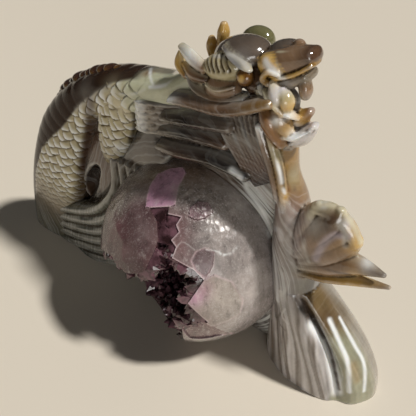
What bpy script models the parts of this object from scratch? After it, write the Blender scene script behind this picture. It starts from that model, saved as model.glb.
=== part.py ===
# Agate dragon carving: one geode slab carved as a dragon that arches over its own
# amethyst-lined dome. One stone, one solid.
import math
import random

import bmesh
import bpy
from mathutils import Matrix, Vector

# Sizes are millimetres in the carving's own axes: X runs along the slab from the
# arched body to the flared foot, Y from the dome's front to the back, Z is up.
MM = 0.001
MIDDLE_X = 0.25
MIDDLE_Y = -3.9

# The geode: a dome of quartz on the front of the slab
DOME_CENTRE = Vector((16, 5, 41))
DOME_RADIUS = 41.0
DOME_BACK_FLATTEN = 0.46

# How fine the fused stone is before and after its facets are thinned out
VOXEL = 0.8
TRIANGLES = 9600

SEED = 7


def smooth_station(stations, t):
    # Catmull-Rom through the stations; every station holds the same count of numbers
    last = len(stations) - 1
    i = min(int(t), last - 1)
    f = t - i
    rows = [stations[min(max(i + k, 0), last)] for k in (-1, 0, 1, 2)]
    values = []
    for a, b, c, d in zip(*rows):
        values.append(0.5 * (2 * b + (c - a) * f + (2 * a - 5 * b + 4 * c - d) * f * f
                             + (3 * b - a - 3 * c + d) * f ** 3))
    return values


# How much a limb's rounded end stands out, as a share of its narrower half width
END_BULGE = 0.7


def around(angle, square):
    # Cosine and sine on a unit circle, or on a squarer oval when square is under 1
    x, y = math.cos(angle), math.sin(angle)
    return math.copysign(abs(x) ** square, x), math.copysign(abs(y) ** square, y)


def sweep(bm, stations, sides=14, step=2.0, side_axis=(0, 1, 0), square=1.0):
    # A limb with an elliptic section: each station is x, y, z, half width across the
    # path and half width towards side_axis. Both ends are rounded off.
    length = sum((Vector(a[:3]) - Vector(b[:3])).length for a, b in zip(stations, stations[1:]))
    count = max(4, int(length / step))
    last = len(stations) - 1
    rows = [smooth_station(stations, last * k / count) for k in range(count + 1)]
    points = [Vector(row[:3]) for row in rows]
    axis = Vector(side_axis)
    rings = []
    frames = []
    for k, row in enumerate(rows):
        tangent = (points[min(k + 1, count)] - points[max(k - 1, 0)]).normalized()
        across = tangent.cross(axis).normalized()
        depth = across.cross(tangent).normalized()
        frames.append((tangent, across, depth))
        rings.append((points[k], across * row[3], depth * row[4]))
    start = frames[0][0]
    finish = frames[-1][0]
    head, tail = [], []
    for angle in (30, 60):
        sink = math.sin(math.radians(angle)) * END_BULGE
        shrink = math.cos(math.radians(angle))
        p, a, d = rings[0]
        head.insert(0, (p - start * min(a.length, d.length) * sink, a * shrink, d * shrink))
        p, a, d = rings[-1]
        tail.append((p + finish * min(a.length, d.length) * sink, a * shrink, d * shrink))
    first_tip = points[0] - start * min(rows[0][3], rows[0][4]) * END_BULGE
    last_tip = points[-1] + finish * min(rows[-1][3], rows[-1][4]) * END_BULGE
    rings = head + rings + tail
    section = [around(2 * math.pi * s / sides, square) for s in range(sides)]
    loops = []
    for centre, across, depth in rings:
        loops.append([bm.verts.new(centre + across * a + depth * b) for a, b in section])
    for low, high in zip(loops, loops[1:]):
        for s in range(sides):
            n = (s + 1) % sides
            bm.faces.new((low[s], low[n], high[n], high[s]))
    for loop, tip, flip in ((loops[0], first_tip, True), (loops[-1], last_tip, False)):
        apex = bm.verts.new(tip)
        for s in range(sides):
            n = (s + 1) % sides
            bm.faces.new((loop[n], loop[s], apex) if flip else (loop[s], loop[n], apex))


def lump(bm, centre, radii, pitch=0.0):
    # An ellipsoid, pitched up towards +X, in degrees
    turn = Matrix.Rotation(math.radians(-pitch), 4, "Y")
    place = Matrix.Translation(centre) @ turn @ Matrix.Diagonal((*radii, 1))
    bmesh.ops.create_uvsphere(bm, u_segments=20, v_segments=12, radius=1, matrix=place)


def pointing(base, tip):
    # Placement that sends +Z from the base to the tip
    return Matrix.Translation(base) @ (tip - base).to_track_quat("Z", "Y").to_matrix().to_4x4()


def spike(bm, base, tip, radius, blunt=0.15, sides=8):
    base, tip = Vector(base), Vector(tip)
    length = (tip - base).length
    place = pointing(base, tip) @ Matrix.Translation((0, 0, length / 2))
    bmesh.ops.create_cone(bm, cap_ends=True, segments=sides, radius1=radius, radius2=radius * blunt,
                          depth=length, matrix=place)


def quartz_point(bm, base, tip, radius, taper=0.45):
    # A six-sided prism that ends in a six-sided pyramid
    base, tip = Vector(base), Vector(tip)
    length = (tip - base).length
    prism = length * (1 - taper)
    place = pointing(base, tip)
    bmesh.ops.create_cone(bm, cap_ends=True, segments=6, radius1=radius, radius2=radius, depth=prism,
                          matrix=place @ Matrix.Translation((0, 0, prism / 2)))
    bmesh.ops.create_cone(bm, cap_ends=True, segments=6, radius1=radius, radius2=radius * 0.03,
                          depth=length - prism, matrix=place @ Matrix.Translation((0, 0, (length + prism) / 2)))


def new_object(name, bm, collection):
    bmesh.ops.recalc_face_normals(bm, faces=bm.faces)
    mesh = bpy.data.meshes.new(name)
    bm.to_mesh(mesh)
    bm.free()
    obj = bpy.data.objects.new(name, mesh)
    collection.objects.link(obj)
    return obj


def bake(obj):
    # Replace an object's mesh by what its modifiers make of it
    graph = bpy.context.evaluated_depsgraph_get()
    graph.update()
    mesh = bpy.data.meshes.new_from_object(obj.evaluated_get(graph))
    obj.modifiers.clear()
    obj.data = mesh


def fuse(obj, voxel):
    remesh = obj.modifiers.new("fuse", "REMESH")
    remesh.mode = "VOXEL"
    remesh.voxel_size = voxel
    bake(obj)


def cut(obj, other, operation):
    boolean = obj.modifiers.new("cut", "BOOLEAN")
    boolean.operation = operation
    boolean.solver = "EXACT"
    boolean.object = other
    bake(obj)


# The arched body: it leaves the base at the left, bends over and becomes the neck.
# It is a broad flat-faced coil below and narrows to a round neck.
BODY = [(-83, 9, -4, 17, 11.5), (-78, 9, 22, 17, 11.5), (-70, 9, 45.5, 16.5, 11.5), (-59.5, 9, 68.5, 14.2, 11),
        (-45.5, 9, 88, 9.6, 10.5), (-27, 9, 99, 8.6, 10), (-10, 9, 104, 8, 9), (6, 9, 109, 6.5, 8),
        (18, 9, 117, 6, 7)]
BODY_SQUARE = 0.75
SPINE_FINS = 30
FIN_HEIGHT = 1.7
FIN_RADIUS = 3.2

# The haunch that hangs inside the arch
HAUNCH = [(-18, 7, 104, 9, 8), (-23, 7, 92, 9.5, 8), (-26, 7, 82, 8.6, 8), (-29, 7, 73, 6.6, 7),
          (-32, 7, 65, 3.2, 5)]


def add_body(bm):
    sweep(bm, BODY, sides=24, square=BODY_SQUARE)
    sweep(bm, HAUNCH, sides=16)
    last = len(BODY) - 1
    for k in range(SPINE_FINS):
        t = 0.35 + (last - 1.9) * k / (SPINE_FINS - 1)
        row = smooth_station(BODY, t)
        ahead = smooth_station(BODY, min(t + 0.05, last))
        tangent = (Vector(ahead[:3]) - Vector(row[:3])).normalized()
        outward = Vector((-tangent.z, 0, tangent.x))
        base = Vector(row[:3]) + outward * (row[3] - 2.5)
        tip = base + outward * (2.5 + FIN_HEIGHT) - tangent * 1.5
        tip += outward * FIN_HEIGHT * max(0, math.sin(2.2 * t)) * 0.8
        spike(bm, base, tip, FIN_RADIUS, blunt=0.5)


# Belly plates between the haunch and the mane: short ribs, one under the other
BELLY_RIBS = 5
BELLY_TOP = (-7, 6.5, 103)
BELLY_PITCH = 3.6
BELLY_WIDTH = 18


def add_belly(bm):
    x, y, z = BELLY_TOP
    for k in range(BELLY_RIBS):
        low = z - BELLY_PITCH * k
        sweep(bm, [(x - 1, y, low - 1, 2.0, 4.5), (x + BELLY_WIDTH * 0.4, y, low, 2.0, 4.5),
                   (x + BELLY_WIDTH, y + 1, low + 2, 2.0, 4.5)], sides=10)


# Hair in long grooves between the haunch and the dome
HAIR_LOCKS = 9


def add_hair(bm):
    for k in range(HAIR_LOCKS):
        f = k / (HAIR_LOCKS - 1)
        top = (-14 + 20 * f, 9 - 2 * f, 85 + 5 * math.sin(math.pi * f))
        low = (-25 + 25 * f, 7 - 3 * f, 63 + 12 * f)
        middle = [(a + b) / 2 for a, b in zip(top, low)]
        sweep(bm, [(*top, 1.8, 4), (middle[0], middle[1] - 1.5, middle[2], 2.2, 4), (*low, 1.8, 4)], sides=8)


# Waves that roll round the pocket at the foot of the arch, one outside the other
WAVES = 6
WAVE_GAP = 6.6
WAVE_WIDTH = 2.9


def add_waves(bm):
    for k in range(WAVES):
        out = WAVE_GAP * k
        width = WAVE_WIDTH + 0.22 * k
        path = [(-27 + 0.75 * out, 6, 68 + 0.1 * out), (-28 + 0.85 * out, 4.5, 52 - 0.3 * out),
                (-41 + 0.45 * out, 3, 35 - 0.75 * out), (-62 + 0.1 * out, 3.5, 24 - 0.8 * out),
                (-88 + 0.2 * out, 6, 14 - 0.6 * out)]
        sweep(bm, [(*p, width, width + 3) for p in path], sides=12)


# The slab of agate behind the dome, from the arch to the pillar, with the pocket
# between the body and the waves left hollow
SLAB = [
    [(-76, 13, 8, 12, 9), (-30, 13, 18, 20, 9), (20, 13, 24, 25, 9), (60, 13, 20, 21, 9)],
    [(-34, 14, 50, 10, 8), (-10, 14, 62, 22, 8), (20, 14, 80, 26, 8), (48, 13, 84, 22, 8)],
    [(-20, 13, 92, 8, 7), (10, 13, 98, 13, 8), (42, 12, 102, 14, 8)],
    [(-68, 15, 26, 14, 6), (-54, 15, 56, 14, 6), (-34, 14, 82, 13, 6), (-8, 13, 96, 8, 6)],
]
COLLAR_RADIUS = 43
COLLAR_SPAN = (-40, 205)


def add_slab(bm):
    for layer in SLAB:
        sweep(bm, layer, sides=20, step=4)
    lump(bm, FLOOR, FLOOR_RADII, FLOOR_PITCH)
    # A raised collar where the slab meets the dome
    start, end = COLLAR_SPAN
    ring = []
    for k in range(13):
        angle = math.radians(start + (end - start) * k / 12)
        ring.append((DOME_CENTRE.x + COLLAR_RADIUS * math.cos(angle), 11,
                     DOME_CENTRE.z + COLLAR_RADIUS * math.sin(angle), 4, 6))
    sweep(bm, ring, sides=12)


# Plain waves across the back, one under the other
BACK_WAVES = 5
BACK_WAVE_GAP = 15
BACK_FILL = [((-46, 17, 40), (20, 5, 24)), ((-68, 14, 24), (12, 7, 14))]


def add_back(bm):
    for centre, radii in BACK_FILL:
        lump(bm, centre, radii)
    for k in range(BACK_WAVES):
        drop = BACK_WAVE_GAP * k
        path = [(-62 + 0.2 * drop, 17, 62 - 0.9 * drop), (-30 + 0.3 * drop, 20, 74 - drop),
                (8 + 0.2 * drop, 21, 90 - 1.05 * drop), (44 + 0.15 * drop, 17, 106 - 1.05 * drop)]
        sweep(bm, [(*p, 7.5, 4) for p in path], sides=12, step=3)


# The floor between the arch and the waves, with the dark pocket sunk into it
FLOOR = (-42, 12, 50)
FLOOR_RADII = (22, 8.5, 27)
FLOOR_PITCH = -22
POCKET = (-48, 3, 44)
POCKET_RADII = (4.2, 9, 16)
POCKET_PITCH = -29


# The mane: blades one above the other over the dome, their round tips to the left
BLADES = [
    [(12, 1, 112, 2.2, 6), (22, 0, 114, 2.6, 6), (36, -1, 116.5, 2.6, 6), (50, 0, 123, 2.2, 5)],
    [(6, 3, 102, 2.6, 6), (18, 2, 105, 3.2, 6), (34, 3, 108, 3, 6)],
    [(4, 4, 95, 3, 6), (16, 3, 98.5, 3.6, 6), (32, 4, 100, 3, 6)],
    [(2, 5, 87, 2.6, 6), (14, 1, 91, 3, 6), (28, 2, 93, 3, 6), (40, 5, 90, 3, 6)],
]
FAN_LOCKS = 7


def add_mane(bm):
    for blade in BLADES:
        sweep(bm, blade, sides=12)
    for k in range(FAN_LOCKS):
        f = k / (FAN_LOCKS - 1)
        sweep(bm, [(25 + 20 * f, 6, 111 + 2 * f, 2.2, 5), (32 + 16 * f, 4, 104 + 3 * f, 2.6, 5),
                   (38 + 13 * f, 5, 95 + 5 * f, 2.4, 5), (43 + 9 * f, 7, 86 + 7 * f, 1.8, 4)], sides=10)


# The head, level with the neck and raised a little towards the snout. Its own
# places are millimetres along the head, to its left side and up.
HEAD = Vector((33, 8, 130))
HEAD_PITCH = 15

# Skull, temples, throat, the far brow's plain knob and the nose: place, radii and turn
SKULL = [
    ((0, 0, 0.5), (9.8, 8, 5.6), 15),
    ((-4, 0, -5), (9, 7.5, 6), 15),
    ((7, 0, -7), (9, 6.5, 6), 15),
    ((0, 12, -1), (5, 4.5, 5), 15),
    ((15, 2, 0.9), (5.8, 5, 3), 11),
]
# On each side: a smooth bowl for the brow, the eye's cup, the eye and the cheek
FACE = [
    ((-3.5, 6.5, -2.4), (6.6, 3.4, 3.8), 15),
    ((-3, 8, -7.4), (5.4, 3.8, 3.6), 15),
    ((5.2, 8.2, -4.4), (2.5, 2.3, 2.3), 0),
    ((13.5, 4.6, -2), (5.2, 3.2, 3.6), -5),
]
# Curls on each side: over the eye, behind the mouth and under the eye
FACE_CURLS = [
    [(2, 8, -1.6, 1, 1.2), (5.5, 9, -1.2, 1.1, 1.4), (8.6, 8, -3.4, 1, 1.2), (8, 7.4, -6.4, 0.9, 1.2)],
    [(16.5, 6.8, -3.6, 0.9, 1), (13.6, 7.8, -2.6, 1, 1.2), (11.4, 7.8, -4.6, 1.1, 1.2), (13, 7.6, -6.4, 1, 1.1)],
    [(9.6, 7.4, -7, 0.8, 1), (10.6, 8, -9, 0.9, 1.1), (13.6, 7.6, -8.4, 0.8, 1)],
]
# Muzzle, turned lip, lower jaw with the mouth open above it, and the beard
MUZZLE = [
    [(12, -1, -2.4, 3.8, 5.2), (19, -1, -1.2, 3.5, 5), (25.2, -1, 0, 2.6, 4)],
    [(14, -2, -5.4, 1, 5), (21, -2, -3.8, 0.9, 4.8), (26.4, -2, -1.4, 0.8, 3.6)],
    [(8, -1, -10.6, 2.2, 5), (16, -1, -8.6, 1.7, 4.2), (23.6, -1, -5.6, 1.3, 3)],
    [(22.6, -3, -6.4, 1.8, 2), (23, -3.5, -10, 2, 2.4), (22.6, -3.5, -12.4, 1.6, 1.8)],
]
# Two horns seen end on
HORNS = [
    [(-19.7, 8, -4, 1.4, 1.4), (-19, 8, -1, 2, 2), (-18.4, 8, 2, 2.2, 2.2)],
    [(-15, 8, -1, 1.4, 1.4), (-13.5, 8, 2.5, 2, 2), (-12, 8, 6, 2.2, 2.2)],
]
# Curled ear tufts behind the brow and the long lock under it
TUFTS = [
    [(-21.5, -2, 1, 1.4, 2), (-26.2, -2, -1.6, 1.9, 2.6), (-26, -2, -5.4, 2, 2.6), (-21, -3, -7.4, 1.8, 2.4),
     (-14, -3, -7.6, 1.6, 2.4)],
    [(-19.4, -4, 2, 1.2, 2), (-15.5, -5, 0.2, 1.6, 2.6), (-11, -6, -1.6, 1.4, 2.4)],
    [(-21, -4, -0.4, 1.1, 2), (-19, -6, -3.4, 1.6, 2.6), (-13, -6, -4.4, 1.4, 2.4)],
    [(-20, -7, -6.4, 1.0, 2), (-15.5, -8, -10, 1.4, 3), (-6, -8.5, -11.6, 1.6, 3), (4, -8, -10.6, 1.2, 2.4)],
]
# Ribs that fan over the brow: how many, and the first and last rib's three places
BROW_RIBS = 6
BROW_FIRST = [(-10, 6.5, 1.2), (-9, 9.2, -0.6), (-7.5, 10, -4.6)]
BROW_LAST = [(1, 6.5, 1.2), (1.5, 9.2, -0.6), (1, 10, -4.6)]
BROW_BULGE = [(0, 0.8), (1.2, 0), (0, -0.8)]
BROW_WIDTHS = [(0.8, 1.0), (0.95, 1.3), (0.7, 1.0)]


def on_head(along, side, up):
    pitch = math.radians(HEAD_PITCH)
    return HEAD + Vector((along * math.cos(pitch) - up * math.sin(pitch), side,
                          along * math.sin(pitch) + up * math.cos(pitch)))


def head_limb(bm, stations, side=1, sides=12, step=1.2, side_axis=(0, 1, 0)):
    sweep(bm, [(*on_head(a, side * b, c), across, depth) for a, b, c, across, depth in stations],
          sides=sides, step=step, side_axis=side_axis)


def add_brow(bm, side):
    # A ribbed brow over a smooth bowl, then the eye, the cheek and their curls
    for (along, out, up), radii, turn in FACE:
        lump(bm, on_head(along, side * out, up), radii, turn)
    for k in range(BROW_RIBS):
        f = k / (BROW_RIBS - 1)
        bulge = math.sin(math.pi * f)
        rib = []
        for first, last, (out, up), widths in zip(BROW_FIRST, BROW_LAST, BROW_BULGE, BROW_WIDTHS):
            a, b, c = [p + (q - p) * f for p, q in zip(first, last)]
            rib.append((a, b + out * bulge, c + up * bulge, *widths))
        head_limb(bm, rib, side, sides=8, side_axis=(0, 1, 0.4))
    for curl in FACE_CURLS:
        head_limb(bm, curl, side, sides=8, step=1)


def add_head(bm):
    for place, radii, turn in SKULL:
        lump(bm, on_head(*place), radii, turn)
    for side in (-1, 1):
        add_brow(bm, side)
    for limb in MUZZLE:
        head_limb(bm, limb, sides=14)
    for horn in HORNS:
        head_limb(bm, horn, side_axis=(1, 0, 0))
    for tuft in TUFTS:
        head_limb(bm, tuft)


# Under the head: a knot of petals and claws, then the pillar and its loose strands
PETALS = [
    ((53, 6, 113), (56, 6, 117), (60, 6, 121), 2.2, 3.2),
    ((55, 6, 106), (59, 6, 112), (62.5, 6, 118), 2.8, 4.2),
    ((53, 4, 126), (54.5, 4, 123), (55.5, 4, 119.5), 1.8, 2.6),
    ((50, 1, 122), (53, 0, 117), (56, 1, 113), 3.2, 3.6),
    ((46, 1, 120), (50, -1, 116), (54, 0, 109), 3.6, 3.8),
    ((50, 3, 126), (53, 1, 125), (55, 1, 121), 3, 3.4),
]
PILLAR = [(49, 7, 116, 5, 6), (52, 6, 104, 4.2, 6), (54, 6, 94, 3.8, 6), (57, 6, 84, 5.5, 7.5),
          (59, 7, 68, 7.5, 9.5), (62, 8, 48, 9, 11), (64, 9, 30, 9, 11)]
STRANDS = [
    [(45, 1, 112, 1.6, 2.2), (49, 0, 104, 1.8, 2.2), (52.5, 0, 95, 1.6, 2), (54, 1, 87, 1.6, 2)],
    [(49, 0, 112, 1.4, 2), (53.5, -0.5, 102, 1.5, 2), (56, 0, 92, 1.5, 2), (57, 1, 84, 1.5, 2)],
]


def add_pillar(bm):
    for low, middle, tip, across, depth in PETALS:
        sweep(bm, [(*low, across * 0.6, depth * 0.7), (*middle, across, depth), (*tip, across * 0.75, depth * 0.7)],
              sides=12, step=1.5)
    sweep(bm, PILLAR, sides=20, step=3)
    for strand in STRANDS:
        sweep(bm, strand, sides=8)


# The claw: a folded leaf of three pointed lobes on the pillar's side, over two fingers
CLAW = [
    [(60, 7, 62, 4, 6), (64, 5, 74, 5.5, 6), (66.5, 3.5, 84, 4.2, 4.5), (68.5, 3, 90, 1.6, 2)],
    [(62, 6, 64, 6, 6.5), (70, 4, 76, 6.5, 6), (74.5, 3, 86, 4.6, 4.5), (75.5, 3, 91.5, 1.8, 2)],
    [(63, 6, 62, 6, 6), (73, 4, 71.5, 6.5, 6), (80, 3.5, 78.5, 4.8, 4.5), (83.5, 3, 82.5, 1.6, 2)],
    [(63, 5, 61, 5, 5.5), (74, 4, 66, 5.2, 5), (84, 3, 72, 4.2, 3.8), (94.5, 2.5, 73.5, 0.8, 1)],
    [(62, 5, 58, 3.5, 5.5), (74, 4, 60.5, 2.8, 4.6), (86, 3, 65.5, 2, 2.8), (97, 2.5, 69.5, 0.7, 0.9)],
]
CLAW_SQUARE = 1.25


def add_claw(bm):
    for finger in CLAW:
        sweep(bm, finger, sides=14, square=CLAW_SQUARE)


# The foot: a skirt that flares from the pillar to the ground, with one deep groove
# between its two broad flutes and shallow ones beside it
FOOT_HEIGHT = 48
FOOT_TOP_MIDDLE = (63, 8)
FOOT_TOP_RADII = (9, 11)
FOOT_BASE_MIDDLE = (77, 12)
FOOT_BASE_RADII = (25.5, 17)
FOOT_BACK_RADIUS = 13
FOOT_SIDES = 96
# Angle in degrees, width in degrees and depth in millimetres of each groove
FLUTES = [(-54, 8, 5), (-24, 9, 1.1), (6, 10, 1), (-96, 9, 0.9), (-128, 9, 0.9), (60, 12, 1.5), (120, 12, 1.5)]


def foot_point(angle, height):
    spread = math.cos(math.pi / 2 * height / FOOT_HEIGHT) if height < FOOT_HEIGHT else 0.0
    back = math.sin(angle) > 0
    base_depth = FOOT_BACK_RADIUS if back else FOOT_BASE_RADII[1]
    middle = [a + (b - a) * spread for a, b in zip(FOOT_TOP_MIDDLE, FOOT_BASE_MIDDLE)]
    across = FOOT_TOP_RADII[0] + (FOOT_BASE_RADII[0] - FOOT_TOP_RADII[0]) * spread
    depth = FOOT_TOP_RADII[1] + (base_depth - FOOT_TOP_RADII[1]) * spread
    pinch = 0.0
    for place, width, cut_depth in FLUTES:
        offset = (math.degrees(angle) - place + 180) % 360 - 180
        pinch += cut_depth * math.exp(-(offset / width) ** 2)
    pinch *= 0.2 + 0.8 * math.sin(math.pi * min(1, height / FOOT_HEIGHT)) ** 0.7
    return Vector((middle[0] + (across - pinch) * math.cos(angle), middle[1] + (depth - pinch) * math.sin(angle),
                   height))


def add_foot(bm):
    heights = [-3, 0] + [FOOT_HEIGHT * k / 16 for k in range(1, 17)]
    loops = []
    for height in heights:
        loops.append([bm.verts.new(foot_point(2 * math.pi * s / FOOT_SIDES, max(height, 0))
                                   + Vector((0, 0, min(height, 0)))) for s in range(FOOT_SIDES)])
    for low, high in zip(loops, loops[1:]):
        for s in range(FOOT_SIDES):
            n = (s + 1) % FOOT_SIDES
            bm.faces.new((low[s], low[n], high[n], high[s]))
    bm.faces.new(loops[0][::-1])
    bm.faces.new(loops[-1])


# The dome is hollow. Its thick crust is broken open at the front and towards the
# ground; the mouth's corners lie on the dome, from the top round to the right.
CAVITY = Vector((13, -6, 38))
CAVITY_RADII = Vector((29, 24, 30))
MOUTH = [
    (12.4, -18.4, 74.5), (19.1, -15.4, 76.4), (20.3, -17.4, 75), (25.1, -15.9, 75.1), (25, -18.7, 73.2),
    (27.1, -19.7, 71.7), (25.9, -22.8, 69.4), (28.5, -23.3, 67.9), (28.7, -26, 64.7), (36.8, -23.7, 61.7),
    (40.6, -22.9, 58.3), (37.7, -28.8, 49.3), (43.9, -24.9, 39.3), (35.7, -30.4, 35), (27.5, -16.8, 8.2),
    (18.9, -15.3, 5.5), (5, -9.5, 4.3), (-3.7, -7, 7.1), (-11.5, -4.2, 12), (-18, -8, 25), (-17, -17, 38),
    (-9, -27, 48), (1.3, -31.1, 53.8), (12, -34, 53), (18, -33.5, 56), (20.6, -32, 58), (21.8, -27.8, 65),
    (21.5, -24.9, 68.5), (18, -21.1, 72.6),
]
# The cutter for the mouth narrows to the dome's middle and stands well out of the dome
MOUTH_INNER = 0.1
MOUTH_OUTER = 2.2
WALL_POINTS = 170
WALL_POINT_RADIUS = (2.0, 4.0)
WALL_POINT_REACH = (1.5, 4.5)


def add_wall_points(bm):
    # Small quartz points all over the wall of the cavity, aimed at its middle
    dice = random.Random(SEED)
    for k in range(WALL_POINTS):
        up = 1 - 2 * (k + 0.5) / WALL_POINTS
        turn = math.pi * (3 - math.sqrt(5)) * k
        flat = math.sqrt(1 - up * up)
        heading = Vector((flat * math.cos(turn), flat * math.sin(turn), up))
        wall = CAVITY + Vector([r * h for r, h in zip(CAVITY_RADII, heading)])
        radius = dice.uniform(*WALL_POINT_RADIUS)
        reach = dice.uniform(*WALL_POINT_REACH)
        quartz_point(bm, wall + heading * radius, wall - heading * reach, radius)


def add_mouth(bm):
    inner, outer = [[bm.verts.new(DOME_CENTRE + (Vector(p) - DOME_CENTRE) * share) for p in MOUTH]
                    for share in (MOUTH_INNER, MOUTH_OUTER)]
    for k in range(len(MOUTH)):
        n = (k + 1) % len(MOUTH)
        bm.faces.new((inner[k], inner[n], outer[n], outer[k]))
    bm.faces.new(inner[::-1])
    bm.faces.new(outer)


def add_geode(cutters):
    bm = bmesh.new()
    bmesh.ops.create_icosphere(bm, subdivisions=5, radius=DOME_RADIUS, matrix=Matrix.Translation(DOME_CENTRE))
    for vert in bm.verts:
        if vert.co.y > DOME_CENTRE.y:
            vert.co.y = DOME_CENTRE.y + (vert.co.y - DOME_CENTRE.y) * DOME_BACK_FLATTEN
    dome = new_object("dome", bm, cutters)
    bm = bmesh.new()
    lump(bm, CAVITY, CAVITY_RADII)
    cavity = new_object("cavity", bm, cutters)
    bm = bmesh.new()
    add_mouth(bm)
    mouth = new_object("mouth", bm, cutters)

    # Hollow the dome, line it with points inside its crust, then open the mouth
    cut(dome, cavity, "DIFFERENCE")
    bm = bmesh.new()
    bm.from_mesh(dome.data)
    add_wall_points(bm)
    geode = new_object("geode", bm, cutters)
    fuse(geode, VOXEL)
    cut(geode, mouth, "DIFFERENCE")
    bpy.data.objects.remove(dome)
    return geode, cavity, mouth


def stone_material():
    material = bpy.data.materials.new("polished_agate")
    material.use_nodes = True
    shader = material.node_tree.nodes["Principled BSDF"]
    shader.inputs["Base Color"].default_value = (0.32, 0.29, 0.24, 1)
    shader.inputs["Roughness"].default_value = 0.15
    shader.inputs["Metallic"].default_value = 0.0
    return material


def build():
    for obj in list(bpy.data.objects):
        bpy.data.objects.remove(obj)
    parts = bpy.data.collections.new("agate dragon carving")
    cutters = bpy.data.collections.new("cutters")
    bpy.context.scene.collection.children.link(parts)
    bpy.context.scene.collection.children.link(cutters)

    geode, cavity, mouth = add_geode(cutters)
    bm = bmesh.new()
    for add in (add_slab, add_back, add_body, add_belly, add_hair, add_waves, add_mane, add_head,
                add_pillar, add_claw, add_foot):
        add(bm)
    carving = new_object("agate_dragon_carving", bm, parts)
    fuse(carving, VOXEL)

    # Sink the pocket, clear the dome's hollow, then set the geode into the slab
    bm = bmesh.new()
    lump(bm, POCKET, POCKET_RADII, POCKET_PITCH)
    pocket = new_object("pocket", bm, cutters)
    for hollow in (pocket, cavity, mouth):
        cut(carving, hollow, "DIFFERENCE")
        bpy.data.objects.remove(hollow)
    bm = bmesh.new()
    bm.from_mesh(carving.data)
    bm.from_mesh(geode.data)
    bm.to_mesh(carving.data)
    bm.free()
    bpy.data.objects.remove(geode)
    fuse(carving, VOXEL)

    smooth = carving.modifiers.new("smooth", "SMOOTH")
    smooth.factor = 0.5
    smooth.iterations = 1
    bake(carving)
    faces = 2 * len(carving.data.polygons)
    thin = carving.modifiers.new("thin", "DECIMATE")
    thin.ratio = TRIANGLES / faces
    bake(carving)

    # Stand it flat on the ground, in metres, over the middle of its outline
    bm = bmesh.new()
    bmesh.ops.create_cube(bm, size=1, matrix=Matrix.Translation((0, 0, -50)) @ Matrix.Diagonal((400, 400, 100, 1)))
    ground = new_object("ground", bm, cutters)
    cut(carving, ground, "DIFFERENCE")
    bpy.data.objects.remove(ground)
    carving.data.transform(Matrix.Scale(MM, 4) @ Matrix.Translation((-MIDDLE_X, -MIDDLE_Y, 0)))
    carving.data.materials.clear()
    carving.data.materials.append(stone_material())
    carving.data.shade_smooth()
    return carving


build()
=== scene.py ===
import math

import bmesh
import bpy
import numpy as np
from mathutils import Matrix, Vector
from mathutils.kdtree import KDTree


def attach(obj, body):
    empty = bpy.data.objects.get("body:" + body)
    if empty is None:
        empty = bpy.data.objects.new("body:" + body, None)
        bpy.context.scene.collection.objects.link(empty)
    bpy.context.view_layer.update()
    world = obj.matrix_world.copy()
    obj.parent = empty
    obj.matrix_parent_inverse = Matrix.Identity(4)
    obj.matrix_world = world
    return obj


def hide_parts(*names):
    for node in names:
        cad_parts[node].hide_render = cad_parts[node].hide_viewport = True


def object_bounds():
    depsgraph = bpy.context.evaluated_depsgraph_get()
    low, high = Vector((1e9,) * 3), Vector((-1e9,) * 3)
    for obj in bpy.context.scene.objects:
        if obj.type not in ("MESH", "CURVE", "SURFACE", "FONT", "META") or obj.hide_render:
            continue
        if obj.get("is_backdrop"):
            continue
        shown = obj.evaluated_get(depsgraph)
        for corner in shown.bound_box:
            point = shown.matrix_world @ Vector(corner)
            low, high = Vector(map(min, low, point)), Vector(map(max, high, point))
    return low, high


# Agate dragon carving: one geode slab, carved and polished, with its quartz-lined dome left in
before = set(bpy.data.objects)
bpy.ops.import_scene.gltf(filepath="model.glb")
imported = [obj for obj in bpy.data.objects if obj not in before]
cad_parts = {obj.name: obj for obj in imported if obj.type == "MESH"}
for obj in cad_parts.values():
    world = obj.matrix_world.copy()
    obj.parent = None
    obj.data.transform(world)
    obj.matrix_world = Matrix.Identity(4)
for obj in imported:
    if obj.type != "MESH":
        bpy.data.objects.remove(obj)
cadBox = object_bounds()

# Everything is drawn in millimetres on the carving's own axes and moved into the frame at the end
millimetre = 0.001
farOff = 99.0  # millimetres, more than any gap that is painted
carving = {
    "node": "agate_dragon_carving",
    "slot": "polished_agate",
    "middle": (0.25, -3.9, 0.0),
    "domeCentre": Vector((16, 5, 41)),
    "domeRadius": 41.0,
    "domeBackFlatten": 0.46,
}


def tone(r, g, b):
    # screen colour to the linear value a shader takes
    return np.array([(c / 255 / 12.92) if c <= 10 else ((c / 255 + 0.055) / 1.055) ** 2.4
                     for c in (r, g, b)])


stone = {
    "cream": tone(176, 164, 126),
    "ivory": tone(206, 196, 168),
    "white": tone(236, 238, 238),
    "ochre": tone(140, 106, 52),
    "amber": tone(132, 88, 34),
    "honey": tone(198, 160, 88),
    "horn": tone(188, 150, 80),
    "spine": tone(58, 34, 24),
    "brown": tone(84, 60, 42),
    "tan": tone(132, 104, 78),
    "deep": tone(34, 24, 18),
    "smoke": tone(92, 80, 70),
    "greyBrown": tone(116, 104, 88),
    "moss": tone(78, 78, 62),
    "wave": tone(94, 94, 80),
    "grey": tone(122, 120, 118),
    "pale": tone(176, 172, 164),
    "violet": tone(160, 146, 150),
    "olive": tone(112, 108, 74),
    "green": tone(190, 190, 162),
    "glass": tone(150, 148, 122),
    "taupe": tone(120, 106, 92),
    "ashGrey": tone(158, 148, 138),
    "frost": tone(204, 198, 196),
    "lilac": tone(142, 106, 118),
    "pink": tone(198, 152, 178),
    "garnet": tone(110, 72, 76),
    "haze": tone(150, 141, 138),
    "rose": tone(112, 78, 80),
    "wine": tone(76, 44, 50),
    "plum": tone(44, 26, 28),
}


def toneOf(colour):
    # one of the stone's colours by its name, or a colour as it is
    return stone[colour] if isinstance(colour, str) else colour


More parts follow.
